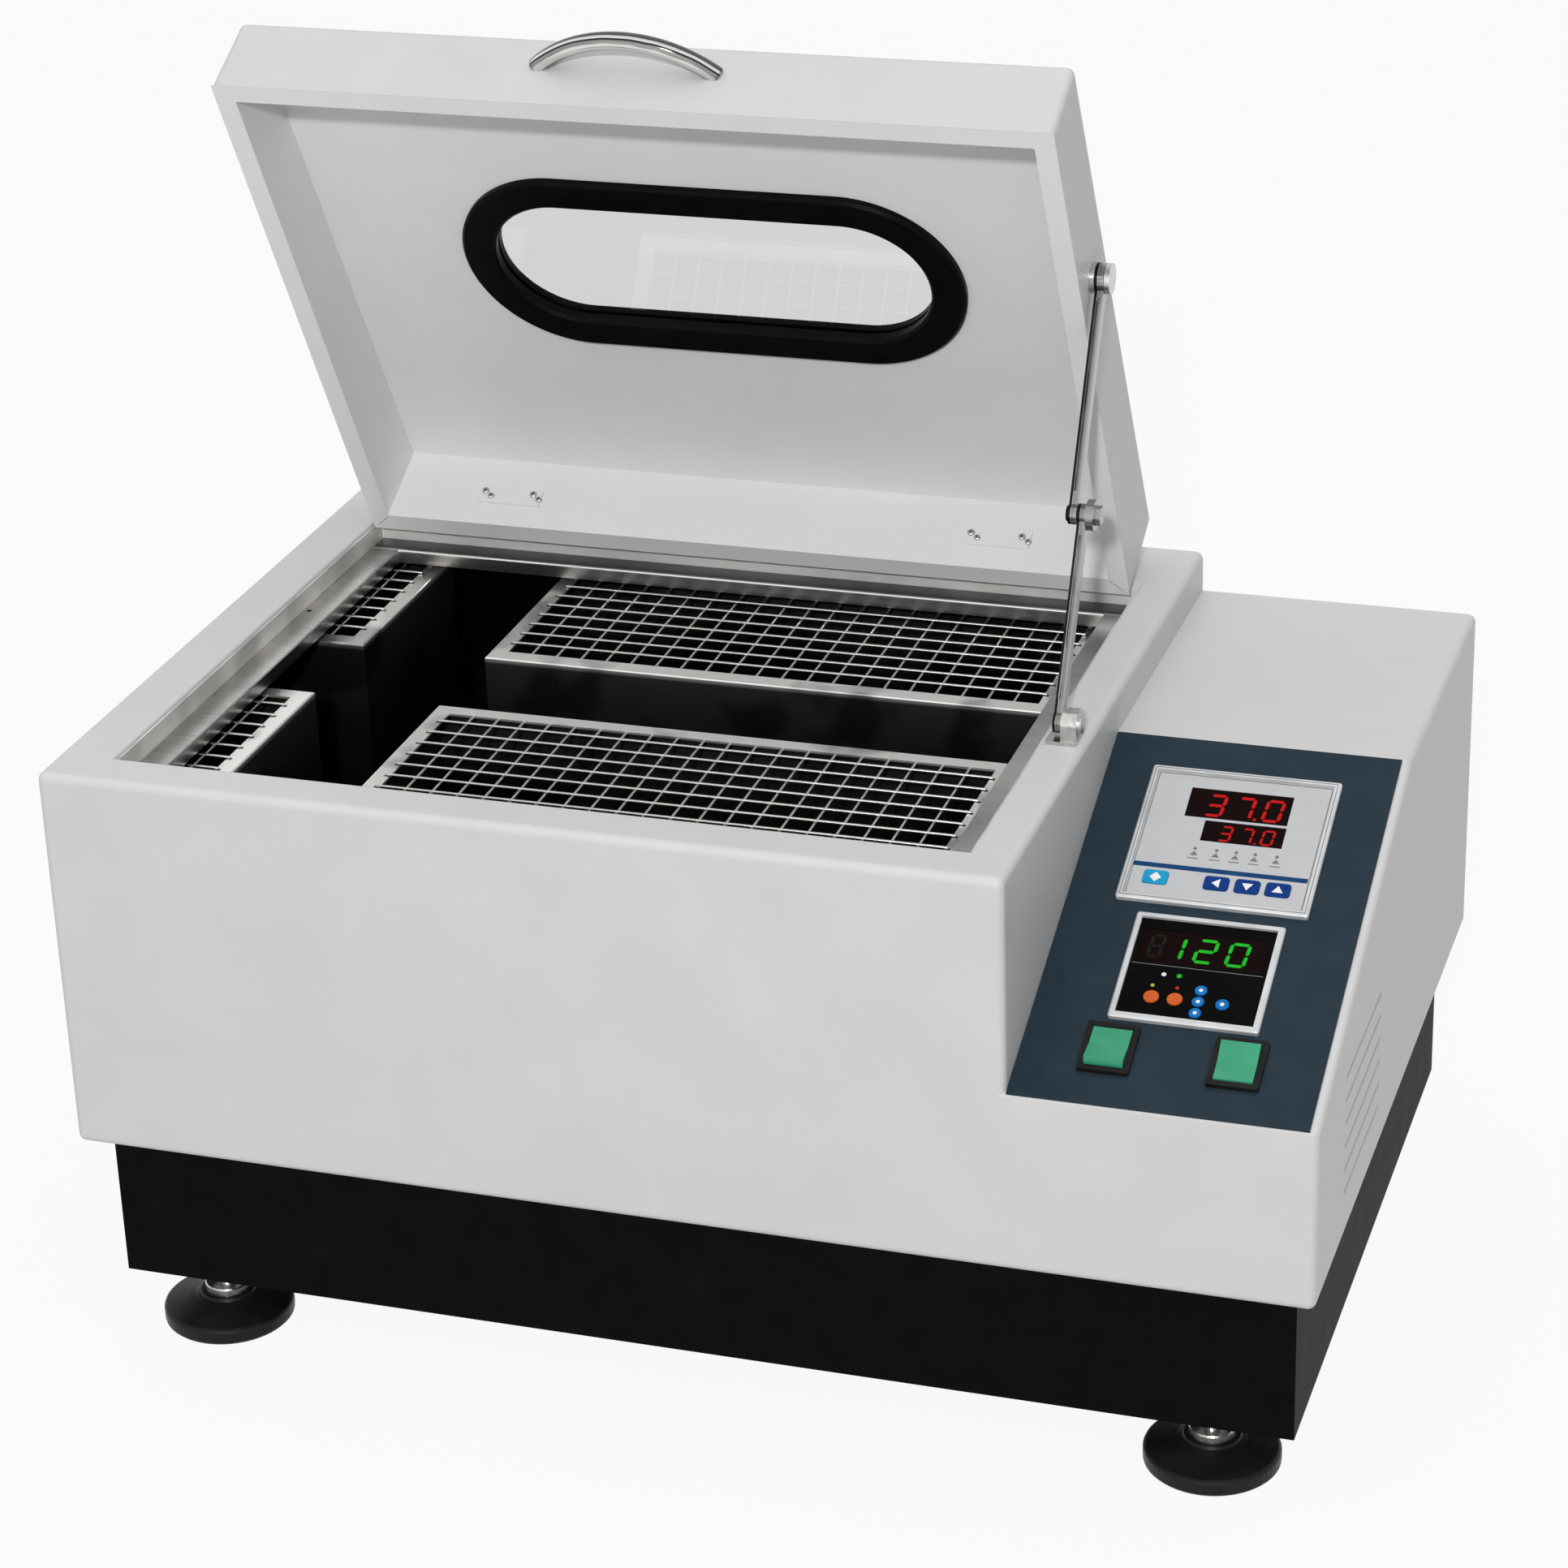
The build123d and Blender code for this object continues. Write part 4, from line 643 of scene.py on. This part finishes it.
# ------------------------------------------------------------------ screws
def screw(shape, at, r, h, axis, side=1):
    """Domed head with a cross slot, whose dark bars are painted shade of its recess; axis is the
    frame's axis that it points along.
    """
    profile = [(r, 0), (r, h * 0.45), (r * 0.86, h * 0.8), (r * 0.5, h), (r * 0.05, h)]
    shape.slot = 0
    shape.turned(at, [(a, side * b) for a, b in profile], 20, axis)
    # the cross slot's bars, in the dark second material: painted shade
    shape.slot = 1
    top = h * 1.02
    for w, l in ((r * 0.22, r * 1.2), (r * 1.2, r * 0.22)):
        points = []
        for d in (h * 0.9, top):
            for u, v in rect(0, 0, w, l):
                p = {2: (u, v, side * d), 1: (u, side * d, v), 0: (side * d, u, v)}[axis]
                points.append(tuple(at[i] + p[i] for i in range(3)))
        shape.add(points, [(3, 2, 1, 0), (4, 5, 6, 7), (0, 1, 5, 4), (1, 2, 6, 5), (2, 3, 7, 6),
                           (3, 0, 4, 7)])


LINER_BACK = -15.1      # the liner's rear wall, from the hinge axis with the lid closed
BACKING_FACE = LINER_BACK - 1.6
backing = Shape(lid_point)
for cx in HINGE_AT:
    for dx in (-15.5, 13.5):
        screw(backing, (cx + dx, BACKING_FACE, 7.6), r=2.2, h=1.3, axis=1, side=-1)
        screw(backing, (cx + dx + 4.2, BACKING_FACE, 4.4), r=1.9, h=1.2, axis=1, side=-1)
backing.piece("backing_screws", "lid", [ZINC, SHADE_DARK], "zinc_steel", smooth=True)

leaf = Shape(world_point)
for cx in HINGE_AT:
    for dx in (-12.0, 12.0):
        screw(leaf, (cx + dx, HINGE_Y + 13.5, TOP + 1.6), r=2.6, h=1.3, axis=2)
leaf.piece("leaf_screws", "cabinet", [ZINC, SHADE_DARK], "zinc_steel", smooth=True)

REAR_PANEL = BACK - 4.5
rear = Shape(world_point)
for x in (LEFT + 12, LEFT + 250, LEFT + 490, RIGHT - 12):
    for z in (127.5, 300.0):
        screw(rear, (x, REAR_PANEL, z), r=3.2, h=2.0, axis=1)
rear.piece("rear_screws", "cabinet", [ZINC, SHADE_DARK], "zinc_steel", smooth=True)


# ------------------------------------------------------------------ levelling feet
PAD = [(31.5, 0.0), (33.5, 0.3), (34.8, 1.6), (35.0, 3.0), (35.0, 7.6), (34.5, 8.8), (33.4, 9.6),
       (31.0, 10.2), (24.0, 12.0), (18.0, 13.8), (15.2, 15.2), (14.4, 16.6), (12.4, 17.0)]
COLLAR = [(11.6, 16.5), (12.0, 17.0), (12.0, 20.2), (11.4, 21.0), (6.0, 21.0)]
STUD = [(4.9, 20.0), (4.9, 52.0), (4.2, 53.0)]
THREAD = [(4.7, 0.0), (5.05, 0.4), (5.05, 0.7), (4.7, 1.1)]
THREADS, THREADS_Z, THREAD_PITCH = 8, 21.6, 1.5
NUT_R, NUT_Z = 9.0, (27.2, 33.2)
FOOT_X, FOOT_Y = 271.0, 173.5


def foot(name, x, y):
    """A round pad, and on it the collar, the threaded stud and its nut."""
    pad = Shape(world_point)
    pad.turned((x, y, 0), PAD, 56)
    pad.slot = 1
    pad.turned((x, y, 0), COLLAR, 40)
    pad.turned((x, y, 0), STUD, 24)
    for k in range(THREADS):
        pad.turned((x, y, THREADS_Z + k * THREAD_PITCH), THREAD, 20)
    pad.slab(round_outline(x, y, NUT_R, 6), *NUT_Z)
    pad.piece(name + "_look", name, [PLASTIC, ZINC], "black_plastic", replaces=(name,))


for name, x, y in (("foot_front_left", -FOOT_X, -FOOT_Y), ("foot_front_right", FOOT_X, -FOOT_Y),
                   ("foot_back_left", -FOOT_X, FOOT_Y), ("foot_back_right", FOOT_X, FOOT_Y)):
    foot(name, x, y)

# ------------------------------------------------------------------ rim of the lid
FOLD_IN = (0.15, 3.0)   # a thin band inside the lid's outline, in the lighter white: painted light over the rim's dark gap line
MITRE_IN = (3.2, 10.8)  # lines across the rim at the rear corners
FOLD_RAISE, MITRE_RAISE = 0.04, 0.06        # how far they stand off the rim
MITRE_W = 0.13          # half a line's width, along X and Y
CORNERS = ((LID_LEFT, LID_FRONT, 1, 1), (LID_RIGHT, LID_FRONT, -1, 1),
           (LID_RIGHT, LID_BACK, -1, -1), (LID_LEFT, LID_BACK, 1, -1))


def inward(corner, by, raised):
    """The point that lies by millimetres inside a corner of the lid, off the rim."""
    x, y, dx, dy = corner
    return x + dx * by, y + dy * by, RIM - raised


# the band, in the lighter white: painted light over the dark gap line on the rim
fold = Shape(lid_point)
for a, b in zip(CORNERS, CORNERS[1:] + CORNERS[:1]):
    fold.add([inward(a, FOLD_IN[0], FOLD_RAISE), inward(b, FOLD_IN[0], FOLD_RAISE),
              inward(b, FOLD_IN[1], FOLD_RAISE), inward(a, FOLD_IN[1], FOLD_RAISE)],
             [(0, 1, 2, 3)])
fold.piece("rim_light_band", "lid", [LIGHTENED_WHITE], "white_paint")

mitre = Shape(lid_point)
for corner in CORNERS[2:]:
    dx, dy = corner[2] * MITRE_W, corner[3] * MITRE_W
    a, b = (inward(corner, by, MITRE_RAISE) for by in MITRE_IN)
    mitre.add([(a[0] - dx, a[1] + dy, a[2]), (a[0] + dx, a[1] - dy, a[2]),
               (b[0] + dx, b[1] - dy, b[2]), (b[0] - dx, b[1] + dy, b[2])], [(0, 1, 2, 3)])
mitre.piece("mitre_lines", "lid", [PRINT_GREY], "white_paint")


# ------------------------------------------------------------------ tubes and the handle
def tube_faces(rings, around):
    """Faces of a closed tube of rings of around points each, with both ends capped."""
    faces = [(k * around + j, k * around + (j + 1) % around,
              (k + 1) * around + (j + 1) % around, (k + 1) * around + j)
             for k in range(rings - 1) for j in range(around)]
    last = (rings - 1) * around
    return faces + [tuple(range(around)), tuple(last + j for j in reversed(range(around)))]


def handle():
    """The bow handle: an arc of round tube whose ends are cut flat just inside the lid's front."""
    rise = BOW_OUT + 1
    inside = LID_FRONT + 0.4
    bend = ((BOW_PITCH / 2) ** 2 + rise ** 2) / (2 * rise)
    half = math.asin(BOW_PITCH / 2 / bend)
    around, steps = 32, 56
    points = []
    for k in range(steps + 1):
        a = -half + 2 * half * k / steps
        for j in range(around):
            t = 2 * math.pi * j / around
            r = bend + BOW_R * math.cos(t)
            y = LID_FRONT - BOW_OUT + bend - r * math.cos(a)
            points.append((HANDLE_MID + r * math.sin(a), min(y, inside),
                           HANDLE_Z + BOW_R * math.sin(t)))
    bow = Shape(lid_point)
    bow.add(points, tube_faces(steps + 1, around))
    bow.piece("handle_look", "lid", [HANDLE_REFLECTIONS], "chrome", smooth=True, replaces=("handle",))


handle()

# ------------------------------------------------------------------ spring wires on the racks
WIRE_R = 0.72
APART = 0.74            # wires above and below the racks' top
HOOK = 2.0              # how far a wire's end reaches over the rim
ALONG, ACROSS = 14.4, 14.1                              # pitches
FIRST = 11.3                                            # the first wire, from the middle gap
ACROSS_COUNT = 8
WIRE_SHADE, WIRE_SHADE_OUT = (2.6, 1.8), 1.6                      # dark marks where wires cross the rims: painted shade
WIRE_SHADE_Z = (RACK_TOP - 0.3, RACK_TOP + 0.05)
NET_Y = ((-152.9, -40.1, -1), (47.1, 159.9, 1))         # front and back nets, away from the gap
NET_X = ((-295.0, -268.0, 1), (-176.0, 125.0, 20))      # narrow and wide nets, wires along Y


def wire(shape, start, end, across, z, along_x):
    """A round wire from start to end, along X or along Y, whose ends are rounded off."""
    around = 10
    cuts = ((0.0, 0.55), (0.3, 0.9), (0.7, 1.0))            # from the end, share of the radius
    stations = [(start + d, f) for d, f in cuts] + [(end - d, f) for d, f in reversed(cuts)]
    points = []
    for a, f in stations:
        for j in range(around):
            t = 2 * math.pi * j / around
            side, high = across + WIRE_R * f * math.cos(t), z + WIRE_R * f * math.sin(t)
            points.append((a, side, high) if along_x else (side, a, high))
    shape.add(points, tube_faces(len(stations), around))


nets, wire_shade = Shape(world_point), Shape(world_point)
for y0, y1, way in NET_Y:
    first_y = y0 + FIRST if way > 0 else y1 - FIRST
    for x0, x1, count in NET_X:
        first_x = x1 - ACROSS if count == 1 else x0 + (x1 - x0 - (count - 1) * ALONG) / 2
        for i in range(ACROSS_COUNT):
            y = first_y + way * i * ACROSS
            wire(nets, x0 - HOOK, x1 + HOOK, y, RACK_TOP + APART, True)
            for x in (x0 - WIRE_SHADE_OUT, x1 + WIRE_SHADE_OUT):
                wire_shade.slab(rect(x, y, *WIRE_SHADE), *WIRE_SHADE_Z)
        for i in range(count):
            wire(nets, y0, y1, first_x + i * ALONG, RACK_TOP - APART, False)
nets.piece("spring_wires", "shaking_platform", [SPRING], "stainless", smooth=True,
           replaces=("spring_nets",))
# the dark marks where wires cross the rims: painted shade
wire_shade.piece("spring_wire_shade", "shaking_platform", [SHADE_DARK], "stainless")


# ------------------------------------------------------------------ stage, light, camera
FLOOR_HALF = 6.0        # metres
FLOOR_WHITE = 0.92      # how white the floor looks
SKY = [(0.0, grey(0.08)), (0.35, grey(0.10)), (0.80, grey(1.0)), (1.0, grey(1.0))]
SKY_STRENGTH = 1.12
LENS, SENSOR = 96.52, 36.0
CAMERA_AT = (0.64521, -1.92817, 1.20264)
CAMERA_AHEAD, CAMERA_UP = (-0.28945, 0.86117, -0.41786), (-0.10071, 0.40673, 0.90798)


def seeing(nt):
    """1 for the rays that show the backdrop as it is: straight, through glass or mirrored."""
    path = node(nt, "ShaderNodeLightPath")
    seen = node(nt, "ShaderNodeMath", operation="MAXIMUM")
    link(nt, path, "Is Camera Ray", seen, 0)
    link(nt, path, "Is Transmission Ray", seen, 1)
    shown = node(nt, "ShaderNodeMath", operation="MAXIMUM")
    link(nt, seen, 0, shown, 0)
    link(nt, path, "Is Glossy Ray", shown, 1)
    return shown


def plain_stage():
    """A floor that looks white and throws a pale light back at the object."""
    mesh = bpy.data.meshes.new("floor")
    s = FLOOR_HALF
    mesh.from_pydata([(-s, -s, 0), (s, -s, 0), (s, s, 0), (-s, s, 0)], [], [(0, 1, 2, 3)])
    floor = bpy.data.objects.new("floor", mesh)
    bpy.context.collection.objects.link(floor)
    m, nt, p = material("pale_floor")
    p.inputs["Base Color"].default_value = (0.55, 0.55, 0.55, 1)
    p.inputs["Roughness"].default_value = 0.9
    glow = node(nt, "ShaderNodeEmission", Color=(1, 1, 1, 1), Strength=1.0)
    mix = node(nt, "ShaderNodeMixShader")
    part = node(nt, "ShaderNodeMath", operation="MULTIPLY")
    part.inputs[1].default_value = FLOOR_WHITE
    link(nt, seeing(nt), 0, part, 0)
    link(nt, part, 0, mix, 0)
    link(nt, p, "BSDF", mix, 1)
    link(nt, glow, "Emission", mix, 2)
    link(nt, mix, "Shader", nt.nodes["Material Output"], "Surface")
    mesh.materials.append(m)


def studio():
    """A white backdrop that lights the object as a pale ceiling over darker walls."""
    world = bpy.data.worlds.new("studio")
    bpy.context.scene.world = world
    world.use_nodes = True
    nt = world.node_tree
    light = nt.nodes["Background"]
    light.inputs["Strength"].default_value = SKY_STRENGTH
    place = node(nt, "ShaderNodeTexCoord")
    split = node(nt, "ShaderNodeSeparateXYZ")
    link(nt, place, "Generated", split, "Vector")
    sky = ramp(nt, SKY)
    link(nt, split, "Z", sky, "Fac")
    link(nt, sky, "Color", light, "Color")
    white = node(nt, "ShaderNodeBackground", Color=(1, 1, 1, 1), Strength=1.0)
    mix = node(nt, "ShaderNodeMixShader")
    link(nt, seeing(nt), 0, mix, 0)
    link(nt, light, 0, mix, 1)
    link(nt, white, 0, mix, 2)
    link(nt, mix, 0, nt.nodes["World Output"], "Surface")


def area_light(name, place, target, size, power):
    lamp = bpy.data.lights.new(name, "AREA")
    lamp.shape = "RECTANGLE"
    lamp.size, lamp.size_y = size
    lamp.energy = power
    ob = bpy.data.objects.new(name, lamp)
    ob.location = place
    ob.rotation_euler = (Vector(target) - Vector(place)).to_track_quat("-Z", "Y").to_euler()
    bpy.context.collection.objects.link(ob)


plain_stage()
studio()
area_light("key", place=(0.80, -3.50, 2.10), target=(0, 0, 0.4), size=(0.16, 0.16), power=77)
area_light("front", place=(-0.3, -2.6, 0.45), target=(0, 0.1, 0.45), size=(2.6, 0.8), power=3)

camera_data = bpy.data.cameras.new("camera")
camera_data.sensor_width = SENSOR
camera_data.lens = LENS
camera_data.clip_end = 50
camera = bpy.data.objects.new("camera", camera_data)
bpy.context.collection.objects.link(camera)
ahead = Vector(CAMERA_AHEAD).normalized()
across = ahead.cross(Vector(CAMERA_UP)).normalized()
upward = across.cross(ahead).normalized()
turn = Matrix((across, upward, -ahead)).transposed()
camera.matrix_world = Matrix.Translation(CAMERA_AT) @ turn.to_4x4()
bpy.context.scene.camera = camera
bpy.context.scene.view_settings.view_transform = "Standard"
